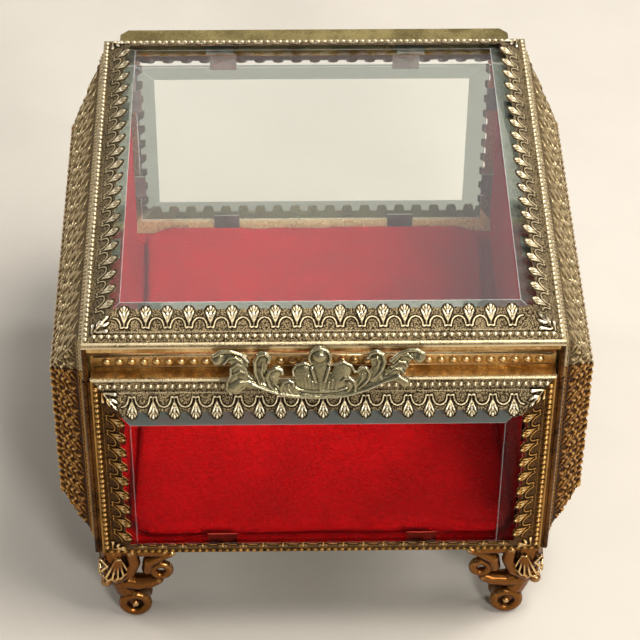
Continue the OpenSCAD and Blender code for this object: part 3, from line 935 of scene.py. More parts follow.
@dataclass(frozen=True)
class Foliage:
    """Leaf sprays between a rope border and a row of small leaves, as on every side panel."""

    reach: float
    start: float = 3.4
    pitch: float = 7.4
    teeth: float = 2.3
    depth: float = 13
    base: float = -0.5

    def _sprays(self, u: Array, v: Array) -> Array:
        """Returns: the height of the sprays, in a field as deep as self.depth."""
        far = self.pitch / 2 - u
        near_strokes = (
            Stroke(((0, 0.2, 0.22), (0, 5.0, 0.3), (0, 8.6, 0.36))),
            Stroke(((0.1, 3.2, 0.25), (1.3, 5.6, 0.55), (1.5, 6.6, 0.3))),
            Stroke(((0.1, 6.4, 0.25), (1.5, 8.6, 0.55), (1.9, 9.6, 0.3))),
            Stroke(((0, 10.2, 0.8), (0, 10.5, 0.8)), 0.75),
            Stroke(((0.9, 10.6, 0.3), (2.0, 12.0, 0.5), (2.1, 12.8, 0.3))),
            Stroke(((0, 11.6, 0.4), (0, 12.8, 0.55))),
            Stroke(((1.2, 0.6, 0.3), (2.2, 2.0, 0.5), (2.0, 3.2, 0.35))),
        )
        far_strokes = (
            Stroke(((0, 0.6, 0.25), (0, 3.4, 0.32), (0, 5.4, 0.36))),
            Stroke(((0.2, 2.4, 0.25), (1.4, 4.4, 0.52), (1.5, 5.2, 0.3))),
            Stroke(((0, 6.5, 0.72), (0, 6.8, 0.72)), 0.75),
            Stroke(((0.8, 7.4, 0.3), (1.9, 9.0, 0.52), (2.0, 10.0, 0.3))),
            Stroke(((0, 8.2, 0.3), (0, 9.8, 0.5), (0, 10.8, 0.3))),
            Stroke(((0.5, 10.9, 0.25), (1.6, 12.4, 0.5))),
            Stroke(((0, 11.9, 0.5), (0, 12.6, 0.55))),
        )
        return np.maximum(highest(near_strokes, u, v), highest(far_strokes, far, v))

    def relief(self, x: Array, y: Array) -> tuple[Array, Array]:
        """Returns: the heights and the relief attribute at x along and y across a panel."""
        field = self.reach - 1.9 - self.start
        u = np.abs((x + self.pitch / 2) % self.pitch - self.pitch / 2)
        sprays = self._sprays(u, (y - self.start) * self.depth / field)
        sprays = np.where(y < self.reach - 1.7, sprays, 0)
        strand = (x + 0.7 * y) % 1.3 - 0.65
        rope = Stroke(((0, 0.6, 0.46), (0, 1.6, 0.46)), 1.2).height(strand, y)
        line = long_stroke(self.start - 0.95, 0.3).height(x, y)
        row = Stroke(((0, self.reach - 1.5, 0.42), (0, self.reach - 0.2, 0.8)), 0.7).height(self._tooth(x), y)
        raised = np.maximum.reduce([sprays, rope, line, row])
        vein = np.cos(2 * math.pi * (2 * u + y) / 1.5) * np.cos(2 * math.pi * (u - y) / 2.3)
        tone = np.clip(raised / 0.5, 0, 1) + np.where(raised > 0.1, 0.3, 0.2) * vein
        tone -= np.where(raised < 0.08, 0.15, 0)
        tone = np.where(y < 1.9, np.clip(rope * 2.4, -1, 1), tone)
        return self.base + np.minimum(raised, 0.52) + 0.06 * vein, tone

    def _tooth(self, x: Array) -> Array:
        """Returns: the distance from the nearest tooth's middle."""
        return (x + self.teeth / 2) % self.teeth - self.teeth / 2

    def edge(self, x: Array) -> Array:
        """Returns: the toothed edge."""
        return self.reach + 0.12 - 0.75 * (np.abs(self._tooth(x)) / self.teeth * 2) ** 2


@dataclass(frozen=True)
class Facet:
    """A side panel: its outer corners from the border's edge round, and the planes that cut its edges."""

    corners: tuple[Vector, ...]
    cuts: tuple[Vector, ...]
    reach: float
    toothed: bool = False
    both_ways: bool = False
    cell: float = 0.3
    thickness: float = 0.8

    def build(self) -> BMesh:
        """Returns: the embossed panel in casket millimetres, as a closed shape."""
        first, second, third = self.corners[:3]
        along = (second - first).normalized()
        normal = along.cross(third - second).normalized()
        across = normal.cross(along)
        spread = [(corner - first).dot(along) for corner in self.corners]
        low, high = min(spread), max(spread)
        foliage = Foliage(self.reach / 2 if self.both_ways else self.reach)

        def relief(x: Array, y: Array) -> tuple[Array, Array]:
            """Returns: the foliage, mirrored about the middle of a panel with two borders."""
            return foliage.relief(x, self.reach / 2 - np.abs(y - self.reach / 2) if self.both_ways else y)

        rows = np.linspace(-0.02, self.reach + 0.05, round(self.reach / self.cell))
        bm = press_sheet(high - low + 0.2, rows, self.cell, relief, foliage.edge if self.toothed else None)
        close_back(bm, lambda co: -self.thickness)
        middle = first + along * (low + high) / 2
        seat = Matrix((along, across, normal)).transposed().to_4x4()
        bm.transform(Matrix.Translation(middle) @ seat)
        for corner, cut in zip(self.corners, self.cuts):
            bmesh.ops.edgeloop_fill(bm, edges=trim(bm, corner, cut))
        return bm


class Sides:
    """The swelled sides of case and lid, embossed all over."""

    def __init__(self, layout: Layout) -> None:
        """Args: layout: the casket's sizes."""
        to_box = layout.metres().inverted()

        def corners(node: str) -> list[Vector]:
            """Returns: the low and the high corner of a node's box, in casket millimetres."""
            return [to_box @ Vector(corner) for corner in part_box(node)]

        face_low = corners("side_face_right")[0]
        wing_low, wing_high = corners("lid_wing_right")
        rim = layout.width / 2
        reach, swell = wing_high.x, wing_high.x - rim
        start, end, hip = wing_low.y, face_low.y, face_low.z
        low, top = wing_low.z, wing_high.z
        high, under = (corner.z for corner in corners("lid_post_front_right"))
        case_top = corners("post_front_right")[1].z
        drop = high - case_top
        back_start, back_end = layout.depth - start, layout.depth - end
        self.middle = layout.depth / 2
        face = Vector((1, 0, 0))
        front = Vector((end - start, -swell, 0)).normalized()
        back = Vector((end - start, swell, 0)).normalized()
        keel = Vector((hip, 0, -swell)).normalized()
        wing = Vector((top - low, 0, swell)).normalized()
        parting = Vector((high - low, 0, swell)).normalized()
        inward = Vector((-1, 0, 0))
        ahead = Vector((0, -1, 0))
        share = (top - under) / (top - low)
        shoulder = Vector((rim + swell * share, start + (end - start) * share, under))
        sole, far_sole = Vector((rim, start, 0)), Vector((rim, back_start, 0))
        knee, far_knee = Vector((reach, end, hip)), Vector((reach, back_end, hip))
        shelf, far_shelf = Vector((reach, end, low - drop)), Vector((reach, back_end, low - drop))
        ear, far_ear = Vector((reach, end, low)), Vector((reach, back_end, low))
        crown, far_crown = Vector((rim, start, top)), Vector((rim, back_start, top))
        self.facets = {
            "face": Facet(
                (far_shelf, shelf, knee, far_knee),
                (parting, front - face, keel - face, back - face), low - drop - hip, both_ways=True,
            ),
            "keel": Facet(
                (sole, far_sole, far_knee, knee),
                (inward, back - keel, face - keel, front - keel), math.hypot(hip, swell),
            ),
            "chamfer": Facet(
                (Vector((rim, start, case_top)), sole, knee, shelf),
                (ahead, keel - front, face - front, parting), math.hypot(end - start, swell),
            ),
            "wing": Facet(
                (far_crown, crown, ear, far_ear),
                (inward, front - wing, -parting, back - wing), math.hypot(top - low, swell), toothed=True,
            ),
            "hip": Facet(
                (Vector((rim, start, under)), Vector((rim, start, high)), ear, shoulder),
                (ahead, -parting, wing - front, Vector((0, 0, 1))), math.hypot(end - start, swell),
            ),
        }

    def _add(self, facet: str, name: str, node: str, side: Side, end: End = End.FRONT) -> None:
        """Builds one panel, mirrored to its side and end."""
        bm = self.facets[facet].build()
        if end is End.BACK:
            bm.transform(Matrix.Translation((0, 2 * self.middle, 0)) @ Matrix.Diagonal((1, -1, 1, 1)))
        if side is Side.LEFT:
            bm.transform(Matrix.Diagonal((-1, 1, 1, 1)))
        bmesh.ops.recalc_face_normals(bm, faces=bm.faces[:])
        finish, body = (WING_GILT, Body.LID) if node.startswith("lid") else (SIDE_GILT, Body.CASE)
        add_piece(name, bm, finish, body, node)

    def build(self) -> None:
        """Builds every side panel."""
        for side in Side:
            word = side.word
            self._add("face", f"side_panel_{word}", f"side_face_{word}", side)
            self._add("keel", f"keel_panel_{word}", f"lower_hip_{word}", side)
            self._add("wing", f"wing_panel_{word}", f"lid_wing_{word}", side)
            for end in End:
                place = f"{end.value}_{word}"
                self._add("chamfer", f"corner_panel_{place}", f"chamfer_{place}", side, end)
                self._add("hip", f"lid_corner_{place}", f"lid_hip_{place}", side, end)


# ---------------------------------------------------------------- castings


class Casting:
    """Strokes with round ends that are fused into one cast piece."""

    sides = 14

    def __init__(self) -> None:
        """Starts an empty casting."""
        self.bm = bmesh.new()

    def stroke(self, points: Sequence[Point], flat: float = 1.0, level: float = 0.0) -> None:
        """Adds a tapered stroke.

        Args:
            points: its points as (x, y, z, radius).
            flat: how much it is flattened along z.
            level: the height at which a flattened stroke lies.
        """
        part = bmesh.new()
        for *place, radius in points:
            seat = Matrix.Translation(place)
            bmesh.ops.create_uvsphere(part, u_segments=self.sides, v_segments=8, radius=radius, matrix=seat)
        for (*start, thick), (*end, thin) in zip(points, points[1:]):
            start, end = Vector(start), Vector(end)
            reach = end - start
            if reach.length < 1e-4:
                continue
            turn = reach.to_track_quat("Z", "Y").to_matrix().to_4x4()
            rod(part, (thick, thin), reach.length, Matrix.Translation((start + end) / 2) @ turn, self.sides)
        if flat != 1.0:
            part.transform(Matrix.Translation((0, 0, level)) @ Matrix.Diagonal((1, 1, flat, 1)))
        join(self.bm, part)

    def drum(self, centre: Point, radius: float, width: float) -> None:
        """Adds a drum whose axis runs along y."""
        part = bmesh.new()
        seat = Matrix.Translation(centre) @ Matrix.Rotation(math.pi / 2, 4, "X")
        rod(part, (radius, radius), width, seat, 32)
        join(self.bm, part)

    def ring(self, centre: Point, radius: float, tube: float) -> None:
        """Adds a ring whose axis runs along y."""
        x, y, z = centre
        turns = [math.tau * step / 18 for step in range(19)]
        self.stroke([(x + radius * math.cos(t), y, z + radius * math.sin(t), tube) for t in turns])

    def fuse(self, voxel: float) -> BMesh:
        """Fuses everything into one smooth skin.

        Args:
            voxel: the size of its cells.

        Returns: the skin, whose relief attribute is high on ridges and low in hollows.
        """
        bm = from_mesh(voxel_skin(self.bm, voxel))
        relax(bm)
        relax(bm)
        mark_ridges(bm)
        return bm


def mark_ridges(bm: BMesh) -> None:
    """Writes the relief attribute from how far each vertex stands out of its surroundings."""
    rounds, scale = 14, 0.22
    bm.verts.index_update()
    bm.normal_update()
    count = len(bm.verts)
    place = np.array([vert.co for vert in bm.verts])
    normal = np.array([vert.normal for vert in bm.verts])
    ends = np.array([[edge.verts[0].index, edge.verts[1].index] for edge in bm.edges])
    one, two = ends[:, 0], ends[:, 1]
    degree = np.bincount(ends.ravel(), minlength=count)
    smooth = place.copy()
    for _ in range(rounds):
        for axis in range(3):
            total = np.bincount(one, smooth[two, axis], count) + np.bincount(two, smooth[one, axis], count)
            smooth[:, axis] = (smooth[:, axis] + total / degree) / 2
    lift = ((place - smooth) * normal).sum(axis=1)
    layer = bm.verts.layers.float.new(RELIEF)
    for vert, value in zip(bm.verts, np.clip(0.4 + lift / scale, 0, 1)):
        vert[layer] = value


class Foot:
    """A cast foot of scrolls: a ribbed leaf on the knee, two ringed arms and a rolled toe."""

    knee = ((3.9, 3.9, -2, 3.3), (4.1, 4.1, -6.5, 3.7), (4.8, 4.6, -9.5, 3.3))
    leg = ((5, 4.4, -12, 3.4), (6.6, 4.3, -16.6, 3.2), (7.6, 4.3, -19.4, 3.0))
    arm = (
        ((18.2, 2.5, -2.8, 1.2), (15.5, 2.6, -4.0, 1.5), (12.6, 2.8, -6.2, 1.7), (12, 3, -9.3, 1.5)),
        ((5, 3.6, -13.2, 2.6), (9, 3.1, -13.9, 2.2), (12.6, 2.8, -13.4, 1.9), (14.4, 2.7, -12.6, 1.6)),
        ((8.3, 2.3, -2.4, 1.6), (8.8, 2.4, -6.3, 1.7), (7.4, 2.3, -9.8, 1.6), (4.2, 2.4, -11.6, 1.7),
         (2.4, 2.9, -11.6, 1.5)),
        ((16.2, 2.6, -2.6, 1.5), (11, 3.2, -2.4, 1.9), (6, 3.8, -2.2, 2.4)),
        ((4.6, 0.5, -3.4, 0.3), (2.0, 0.3, -9.3, 0.32)),
        ((4.8, 0.5, -3.4, 0.3), (3.4, 0.1, -9.8, 0.32)),
        ((5.0, 0.5, -3.4, 0.3), (4.8, 0.2, -9.7, 0.32)),
        ((5.3, 0.6, -3.4, 0.3), (6.1, 0.6, -9.0, 0.32)),
        ((5.6, 0.8, -3.4, 0.3), (7.1, 1.1, -7.8, 0.32)),
        ((1.3, 0.7, -9.4, 0.35), (2.4, 0.2, -10.4, 0.38), (3.2, 0.1, -9.8, 0.35), (4.0, 0.1, -10.5, 0.38),
         (4.7, 0.2, -9.8, 0.35), (5.5, 0.5, -10.1, 0.38), (6.2, 0.7, -9.2, 0.35), (7.2, 1.2, -8.9, 0.38)),
        ((0.9, 0.9, -3.6, 0.32), (2.4, 0.4, -5.5, 0.36), (0.7, 0.7, -7.7, 0.32)),
    )
    toe = (8.6, 4.3, -20.75)
    height = 25
    gap = 0.02

    def cast(self) -> BMesh:
        """Returns: the foot, its origin on the rim's corner and x and y running in under the box."""
        casting = Casting()
        casting.stroke(self.knee)
        casting.stroke(self.leg)
        for points in self.arm:
            casting.stroke(points)
            casting.stroke([(y, x, z, radius) for x, y, z, radius in points])
        for turned in (False, True):
            part = Casting()
            part.ring((15.4, 2.7, -9.2), 2.0, 1.15)
            if turned:
                swap_x_y = Matrix(((0, 1, 0, 0), (1, 0, 0, 0), (0, 0, 1, 0), (0, 0, 0, 1)))
                part.bm.transform(swap_x_y)
                bmesh.ops.recalc_face_normals(part.bm, faces=part.bm.faces[:])
            join(casting.bm, part.bm)
        casting.stroke([(1.8, 1.8, -12.4, 1.5), (2.4, 2.4, -12.0, 1.6)])
        x, y, z = self.toe
        casting.drum((x, y, z), 3.6, 4.6)
        for face in (-1, 1):
            casting.ring((x, y + face * 2.1, z), 3.0, 1.25)
            casting.stroke([(x, y + face * 2.2, z, 1.15), (x, y, z, 1.15)])
        bm = casting.fuse(0.2)
        for vert in bm.verts:
            vert.co.z = min(-self.gap, max(self.gap - self.height, vert.co.z))
        return bm

    def build(self, layout: Layout) -> None:
        """Sets the four feet under the corners."""
        for side in Side:
            for end in End:
                bm = self.cast()
                place = Matrix.Diagonal((-side.value, 1 if end is End.FRONT else -1, 1, 1))
                corner = (side.value * layout.width / 2, 0 if end is End.FRONT else layout.depth, 0)
                bm.transform(Matrix.Translation(corner) @ place)
                bmesh.ops.recalc_face_normals(bm, faces=bm.faces[:])
                name = f"{end.value}_{side.word}"
                add_piece(f"scroll_foot_{name}", bm, BRONZE, Body.CASE, f"foot_{name}")


class Pull:
    """The cast shell and scroll pull.

    Its strokes are (x, distance down the plate, radius) and its fan's rim is an arc, given as its centre's
    x and distance down and its two radii.
    """

    lean = math.radians(17.8)
    top = 68.3
    stand = 0.4
    thickness = 0.56
    level = 0.58
    fan = (-1, 2.55, 2.45, 2.2)
    body = (
        ((-5.0, 5.9, 2.0), (-4.7, 8.6, 2.2), (-2.4, 10.2, 2.2)),
        ((-1, 5.0, 2.5), (-1, 10.0, 2.4)),
        ((4.2, 5.6, 2.1), (3.2, 8.8, 2.4), (1, 10.2, 2.2)),
        ((-1, 2.2, 2.5), (-1, 4.6, 2.4)),
        ((-20.2, 9.9, 1.9), (-17.8, 8.7, 1.2), (-14, 9.6, 1.1), (-10, 11.2, 1.1), (-5, 11.9, 0.9),
         (0, 12.1, 0.8), (5, 11.6, 0.9), (9.2, 10.3, 1.0), (13, 8.4, 1.0), (16.5, 7.6, 1.1),
         (18.4, 9.0, 1.2)),
        ((-21, 9.6, 1.2), (-20.4, 7.4, 1.4), (-19.2, 5.2, 2.0), (-19.0, 3.4, 2.1), (-21.4, 2.2, 1.4),
         (-24.0, 2.9, 1.6)),
        ((-18.2, 7.2, 1.8), (-16.2, 9.2, 1.2)),
        ((-15.0, 8.4, 1.2), (-14.5, 5.4, 1.6), (-14.0, 2.8, 1.9)),
        ((-11.6, 10.2, 1.2), (-11.8, 7.2, 1.6), (-10.6, 5.9, 1.4)),
        ((-9.0, 9.8, 1.6), (-8.2, 9.4, 1.4), (-6.4, 10.8, 1.4)),
        ((14.6, 7.1, 1.3), (17.0, 4.9, 2.0), (18.2, 2.6, 1.6), (20.6, 1.9, 1.2), (21.6, 2.8, 1.4)),
        ((11.2, 8.0, 1.5), (12.4, 5, 1.6), (12.0, 2.6, 1.9)),
        ((8.4, 9.6, 1.4), (9.2, 7.2, 1.5), (8.8, 6.0, 1.3)),
        ((5.8, 9.2, 1.4), (5.6, 10.6, 1.2)),
    )
    ridges = (
        ((-3.2, 4.4, 0.3), (-4.4, 3.9, 0.34), (-6.3, 4.3, 0.34), (-7.1, 5.6, 0.32), (-6.9, 7.0, 0.26)),
        ((1.2, 4.4, 0.3), (2.6, 4.2, 0.32), (4.4, 3.6, 0.34), (6.2, 4.6, 0.34), (7.0, 6.2, 0.28)),
        ((-2.8, 5.2, 0.42), (-1.9, 8.6, 0.36)), ((1.1, 5.2, 0.42), (0.2, 8.6, 0.36)),
        ((-5.2, 7.4, 0.16), (-4.9, 9.9, 0.2)), ((-4.4, 7.2, 0.16), (-4.1, 10.1, 0.2)),
        ((-3.6, 7.2, 0.16), (-3.3, 10.2, 0.2)), ((-2.7, 8.6, 0.16), (-2.4, 10.3, 0.2)),
        ((1.0, 8.8, 0.16), (0.8, 10.3, 0.2)), ((1.9, 8.2, 0.16), (1.7, 10.3, 0.2)),
        ((2.8, 8.0, 0.16), (2.6, 10.2, 0.2)), ((-0.9, 8.9, 0.2), (-0.9, 10.4, 0.26)),
        ((-6.6, 10.4, 0.26), (-3.4, 10.95, 0.34), (0, 11.05, 0.36), (3, 10.85, 0.34), (5.0, 10.2, 0.26)),
        ((-16.4, 9.0, 0.4), (-13.6, 10.3, 0.42), (-10.4, 11.5, 0.42), (-6.6, 12.25, 0.42), (-0.8, 12.5, 0.42),
         (4.9, 12.1, 0.42), (9.7, 10.6, 0.42), (13.8, 8.6, 0.42), (17.0, 7.4, 0.45), (18.8, 8.6, 0.5)),
        ((-9.8, 11.2, 0.32), (-9.8, 9.8, 0.38), (-9.1, 8.6, 0.38), (-7.9, 8.2, 0.38), (-7.0, 8.7, 0.34),
         (-6.9, 9.5, 0.28)),
        ((-8.1, 9.3, 0.2), (-8.3, 10.3, 0.26), (-7.5, 11.3, 0.26)),
        ((4.0, 8.5, 0.3), (4.7, 7.8, 0.38), (5.8, 7.7, 0.42), (6.8, 8.5, 0.42), (7.2, 9.7, 0.38),
         (6.9, 11, 0.3)),
        ((5.6, 9.0, 0.2), (5.9, 10.0, 0.26), (5.4, 11.0, 0.26)),
        ((-11, 11, 0.3), (-12.3, 9.4, 0.42), (-13.0, 7.4, 0.46), (-12.5, 5.9, 0.46), (-11.0, 5.1, 0.46),
         (-9.6, 5.5, 0.42), (-9.4, 6.5, 0.36)),
        ((-11.5, 7.2, 0.2), (-11.2, 8.8, 0.26), (-10.2, 10.2, 0.2)),
        ((7.5, 6.1, 0.36), (8.2, 5.2, 0.42), (9.5, 5.2, 0.46), (10.4, 6.4, 0.46), (10.0, 8.0, 0.42),
         (8.9, 9.4, 0.38), (7.9, 10.3, 0.3)),
        ((8.6, 6.8, 0.2), (8.6, 7.8, 0.26), (7.8, 9.2, 0.2)),
        ((-14.6, 9.0, 0.3), (-15.6, 6.0, 0.38), (-15.7, 3.4, 0.44), (-14.9, 1.8, 0.52), (-13.3, 1.4, 0.52),
         (-12.3, 2.5, 0.48), (-12.6, 3.6, 0.38)),
        ((-13.9, 3.6, 0.2), (-14.2, 6.0, 0.28), (-13.6, 8.4, 0.2)),
        ((9.9, 2.6, 0.42), (10.5, 1.5, 0.5), (11.9, 1.1, 0.54), (13.3, 1.9, 0.52), (13.7, 3.6, 0.46),
         (13.0, 5.8, 0.42), (11.6, 7.6, 0.3)),
        ((11.0, 2.9, 0.2), (11.9, 2.6, 0.32), (12.5, 3.6, 0.32), (12.0, 5.0, 0.22)),
        ((-22.6, 3.9, 0.32), (-21.6, 2.5, 0.38), (-20.0, 2.3, 0.38), (-18.6, 3.5, 0.34), (-17.6, 5.4, 0.26)),
        ((-20.8, 4.9, 0.3), (-19.8, 4.1, 0.36), (-18.7, 4.4, 0.34), (-17.3, 6.2, 0.26)),
        ((-20.0, 6.5, 0.3), (-19.0, 5.8, 0.36), (-17.9, 6.1, 0.32), (-16.3, 7.8, 0.26)),
        ((-21.1, 5.0, 0.26), (-21.2, 6.8, 0.28), (-22.0, 8.6, 0.32), (-22.1, 10.2, 0.32), (-21.2, 11.4, 0.3)),
        ((-24.9, 1.9, 0.5), (-23.2, 0.9, 0.5), (-21.0, 0.9, 0.46), (-18.8, 1.6, 0.44), (-17.2, 3.4, 0.4)),
        ((15.6, 3.9, 0.3), (17.1, 2.1, 0.36), (18.8, 1.7, 0.4), (19.9, 2.7, 0.36)),
        ((15.3, 4.9, 0.3), (16.9, 3.7, 0.36), (18.4, 3.9, 0.36), (18.8, 4.8, 0.3)),
        ((14.0, 6.7, 0.3), (15.9, 5.3, 0.36), (17.4, 5.6, 0.36), (18.3, 6.6, 0.3)),
        ((22.4, 1.6, 0.44), (21.0, 0.8, 0.48), (19.0, 0.9, 0.46), (16.8, 1.7, 0.42), (15.0, 3.4, 0.38)),
    )
    swellings = (
        ((-20.6, 10.0, 1.35), (-19.2, 8.8, 1.15), (-17.2, 8.7, 0.8), (-14.6, 9.8, 0.5)),
        ((18.4, 9.2, 1.05), (17.6, 8.2, 0.85), (15.6, 7.9, 0.65), (13.2, 8.9, 0.5)),
        ((-24.2, 3.3, 1.1), (-23.6, 2.2, 0.9)),
        ((21.5, 3.2, 1.0), (21.7, 2.2, 0.8)),
        ((-1, 2.2, 1.7), (-1, 2.3, 1.7)),
    )

    def build(self, layout: Layout) -> None:
        """Casts the pull and hangs it from the lid's lip."""
        casting = Casting()
        for points in self.body:
            for start, end in zip(points, points[1:]):
                flat = self.thickness / max(start[2], end[2])
                casting.stroke([(x, -q, 0, radius) for x, q, radius in (start, end)], flat, self.level)
        for points in self.ridges:
            casting.stroke([(x, -q, 1.0, radius) for x, q, radius in points])
        for points in self.swellings:
            casting.stroke([(x, -q, 0, radius) for x, q, radius in points], 0.6, 0.75)
        turns = [math.radians(angle) for angle in range(-40, 221, 20)]
        x, q, wide, high = self.fan
        casting.stroke([(x + wide * math.cos(t), -q + high * math.sin(t), 1.0, 0.34) for t in turns])
        bm = casting.fuse(0.13)
        seat = Matrix.Translation((0, -self.stand, self.top))
        bm.transform(seat @ Matrix.Rotation(math.pi / 2 - self.lean, 4, "X"))
        add_piece("shell_pull", bm, PEWTER, Body.LID, "handle_pull")


class Collar:
    """Beads and the bright edge on the collar behind the front strip."""

    height = 60.7
    face = 2.9
    pitch = 2.83
    count = 36
    rods = ((62.35, 0.34), (59.2, 0.2))

    def build(self) -> None:
        """Sets the beads on the collar's upstand."""
        half = (self.count - 1) / 2
        places = [((index - half) * self.pitch, self.face, self.height) for index in range(self.count)]
        bm = bead_row(places, 1.12, (1, 0.7, 1), 0.75)
        length = 2 * half * self.pitch + 6
        for height, radius in self.rods:
            seat = Matrix.Translation((0, self.face + 0.08, height)) @ Matrix.Rotation(math.pi / 2, 4, "Y")
            for vert in rod(bm, (radius, radius), length, seat, 10):
                vert[bm.verts.layers.float[RELIEF]] = 0.8
        add_piece("collar_beads", bm, COLLAR_GILT, Body.CASE)


# ---------------------------------------------------------------- velvet


@dataclass(frozen=True)
class Cushion:
    """A velvet pad in metres: its solid drawn in a little, then swelled by a cloth simulation.

    The insets say how far the low and the high faces are drawn in along each axis. Swell is the most
    that a point moves out again, and margin is how far the pad stays inside its solid's box.
    """

    node: str
    voxel: float
    swell: float
    low_inset: Point
    high_inset: Point
    margin: float = 1e-5
    frames: int = 20
    pressure: float = 4.0

    def _slab(self) -> bpy.types.Object:
        """Returns: a copy of the CAD form, drawn in a little and evenly meshed, in metres."""
        bm = bmesh.new()
        bm.from_mesh(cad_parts[self.node].data)
        bmesh.ops.remove_doubles(bm, verts=bm.verts, dist=1e-6)
        centre = sum((vert.co for vert in bm.verts), Vector()) / len(bm.verts)
        for vert in bm.verts:
            vert.co += Vector(
                -down if here > middle else up
                for here, middle, up, down in zip(vert.co, centre, self.low_inset, self.high_inset)
            )
        return add_object(f"{self.node} slab", voxel_skin(bm, self.voxel))

    def _blow(self, slab: bpy.types.Object) -> Array:
        """Returns: the vertices' places after the cloth has swelled."""
        cloth = slab.modifiers.new("cloth", "CLOTH")
        cloth.settings.use_pressure = True
        cloth.settings.uniform_pressure_force = self.pressure
        cloth.settings.effector_weights.gravity = 0
        cloth.point_cache.frame_end = self.frames
        scene = bpy.context.scene
        for number in range(1, self.frames + 1):
            scene.frame_set(number)
        swollen = evaluated(slab)
        place = np.array([vert.co for vert in swollen.to_mesh().vertices])
        swollen.to_mesh_clear()
        slab.modifiers.clear()
        scene.frame_set(1)
        return place

    def build(self) -> None:
        """Makes the pad and puts it in the CAD solid's place."""
        slab = self._slab()
        start = np.array([vert.co for vert in slab.data.vertices])
        moved = self._blow(slab)
        step = moved - start
        length = np.linalg.norm(step, axis=1, keepdims=True)
        step *= np.minimum(1, self.swell / np.maximum(length, 1e-9))
        low, high = (np.array(corner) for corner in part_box(self.node))
        place = np.clip(start + step, low + self.margin, high - self.margin)
        bm = from_mesh(slab.data)
        for vert, co in zip(bm.verts, place):
            vert.co = co
        relax(bm)
        bmesh.ops.subdivide_edges(bm, edges=bm.edges, cuts=1, use_grid_fill=True)
        relax(bm)
        bm.transform(LAYOUT.metres().inverted())
        piece = add_piece(f"velvet_{self.node}", bm, VELVET, Body.CASE, self.node)


# ---------------------------------------------------------------- stage and camera


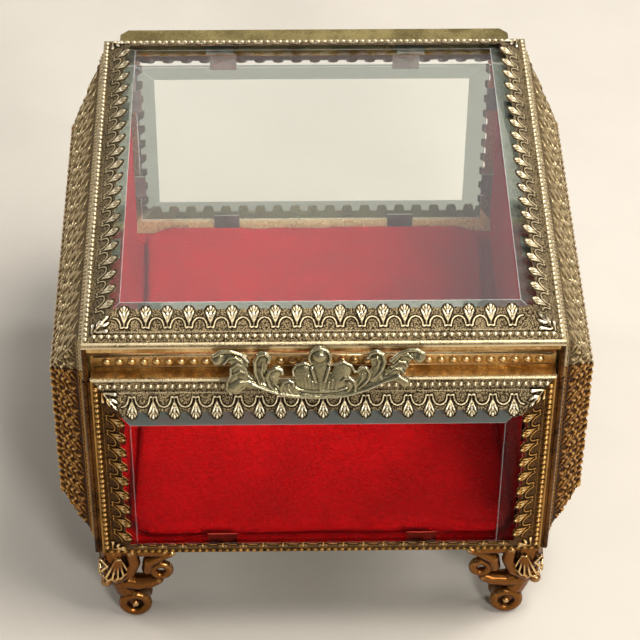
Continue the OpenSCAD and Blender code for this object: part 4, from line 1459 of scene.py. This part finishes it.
@dataclass(frozen=True)
class Studio:
    """Pale floor, soft lamps and the camera at the photograph's angle."""

    lens: float = 137.6
    eye: Point = (-11.55, -406.3, 441.65)
    pitch: float = math.radians(42.0)
    yaw: float = math.radians(1.49)
    roll: float = math.radians(0.55)
    floor_colour: Point = (0.52, 0.475, 0.41)
    ambient: float = 0.28
    target: Point = (0, 0, 0.05)

    def camera(self) -> None:
        """Places the camera and makes it the scene's own."""
        ahead = Vector((
            math.sin(self.yaw) * math.cos(self.pitch),
            math.cos(self.yaw) * math.cos(self.pitch),
            -math.sin(self.pitch),
        ))
        right = Vector((math.cos(self.yaw), -math.sin(self.yaw), 0))
        up = right.cross(ahead)
        level = math.cos(self.roll) * right + math.sin(self.roll) * up
        raised = math.cos(self.roll) * up - math.sin(self.roll) * right
        turn = Matrix((level, raised, -ahead)).transposed().to_4x4()
        data = bpy.data.cameras.new("photo camera")
        data.sensor_width = 36
        data.lens = self.lens
        data.clip_start = 0.01
        camera = add_object("photo camera", data)
        camera.matrix_world = Matrix.Translation(LAYOUT.metres() @ Vector(self.eye)) @ turn
        bpy.context.scene.camera = camera

    def floor(self) -> None:
        """Lays the plain floor that the casket stands on."""
        bm = bmesh.new()
        bmesh.ops.create_grid(bm, x_segments=1, y_segments=1, size=3.0)
        floor = add_object("floor", to_mesh("floor", bm))
        floor.data.materials.append(wear(PlainBoard("pale floor", "board", self.floor_colour)))

    def lamp(self, name: str, place: Point, size: float, power: float, colour: Point = (1, 1, 1)) -> None:
        """Hangs one square soft lamp that looks at the casket."""
        data = bpy.data.lights.new(name, "AREA")
        data.size = size
        data.energy = power
        data.color = colour
        aim = Vector(self.target) - Vector(place)
        turn = aim.to_track_quat("-Z", "Y").to_matrix().to_4x4()
        add_object(name, data).matrix_world = Matrix.Translation(place) @ turn

    def world(self) -> None:
        """Gives the world a soft light, and a white look wherever it is seen."""
        graph = Graph(bpy.data.worlds.new("studio"))
        bpy.context.scene.world = graph.owner
        views = {place: graph.value("LightPath", None, f"Is {ray} Ray")
                 for place, ray in enumerate(("Camera", "Transmission"))}
        seen = graph.value("Math", views, operation="MAXIMUM")
        soft, white = (graph.value("Background", {"Strength": strength}) for strength in (self.ambient, 1.0))
        graph.node("OutputWorld", {"Surface": graph.mix(seen, soft, white)})

    def set_up(self) -> None:
        """Builds the whole studio."""
        self.camera()
        self.floor()
        self.world()
        self.lamp("key lamp", (0.34, -0.12, 0.95), 0.42, 11.0, (1.0, 0.97, 0.93))
        self.lamp("back card", (0.05, 1.25, 1.12), 1.5, 5.5)
        self.lamp("front lamp", (0.4, -1.0, 0.55), 0.22, 8.0)
        self.lamp("left lamp", (-0.9, 0.35, 0.55), 0.3, 2.8)
        self.lamp("right lamp", (0.95, 0.3, 0.6), 0.3, 5.6)
        bpy.context.scene.view_settings.view_transform = "Standard"


def dress_plain_nodes() -> None:
    """Gives the CAD nodes whose own shape is right their materials."""
    posts = [f"post_{end.value}_{side.word}" for end in End for side in Side]
    wardrobe = {
        OLIVE: ("bottom_plate", "hinge_leaf_case", "hinge_leaf_lid", "hinge_pin", "side_shelf_left",
                "side_shelf_right"),
        TAB: ("back_glass_tabs", "lid_glass_tabs"),
        VELVET_LIT_TAB: ("front_glass_tabs",),
        GLASS: ("front_glass",),
        BACK_GLASS: ("back_glass",),
        LID_GLASS: ("lid_glass",),
        BOARD: ("floor_board",),
        LIP_GILT: ("lid_lip", "front_collar"),
        POST_GILT: (*posts, *(f"lid_{post}" for post in posts)),
    }
    for finish, nodes in wardrobe.items():
        for node in nodes:
            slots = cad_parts[node].data.materials
            slots.clear()
            slots.append(wear(finish))


def main() -> None:
    """Builds the casket in order."""
    logging.basicConfig(level=logging.INFO, format="%(name)s %(message)s")
    Studio().set_up()
    frames = StripFrames(LAYOUT, StripStyle())
    frames.lid()
    frames.case(End.FRONT)
    frames.case(End.BACK)
    Sides(LAYOUT).build()
    Foot().build(LAYOUT)
    Pull().build(LAYOUT)
    Collar().build()
    dress_plain_nodes()
    low, high = (0.0017, 0.0005, 0), (0.0017, 0.0005, 0.0017)
    Cushion("floor_pad", voxel=0.0014, swell=0.0008, low_inset=low, high_inset=high).build()
    inset = (0.0003, 0.0003, 0.0003)
    for side in Side:
        Cushion(f"lining_{side.word}", voxel=0.0011, swell=0.0004, low_inset=inset, high_inset=inset).build()


if __name__ == "__main__":
    main()
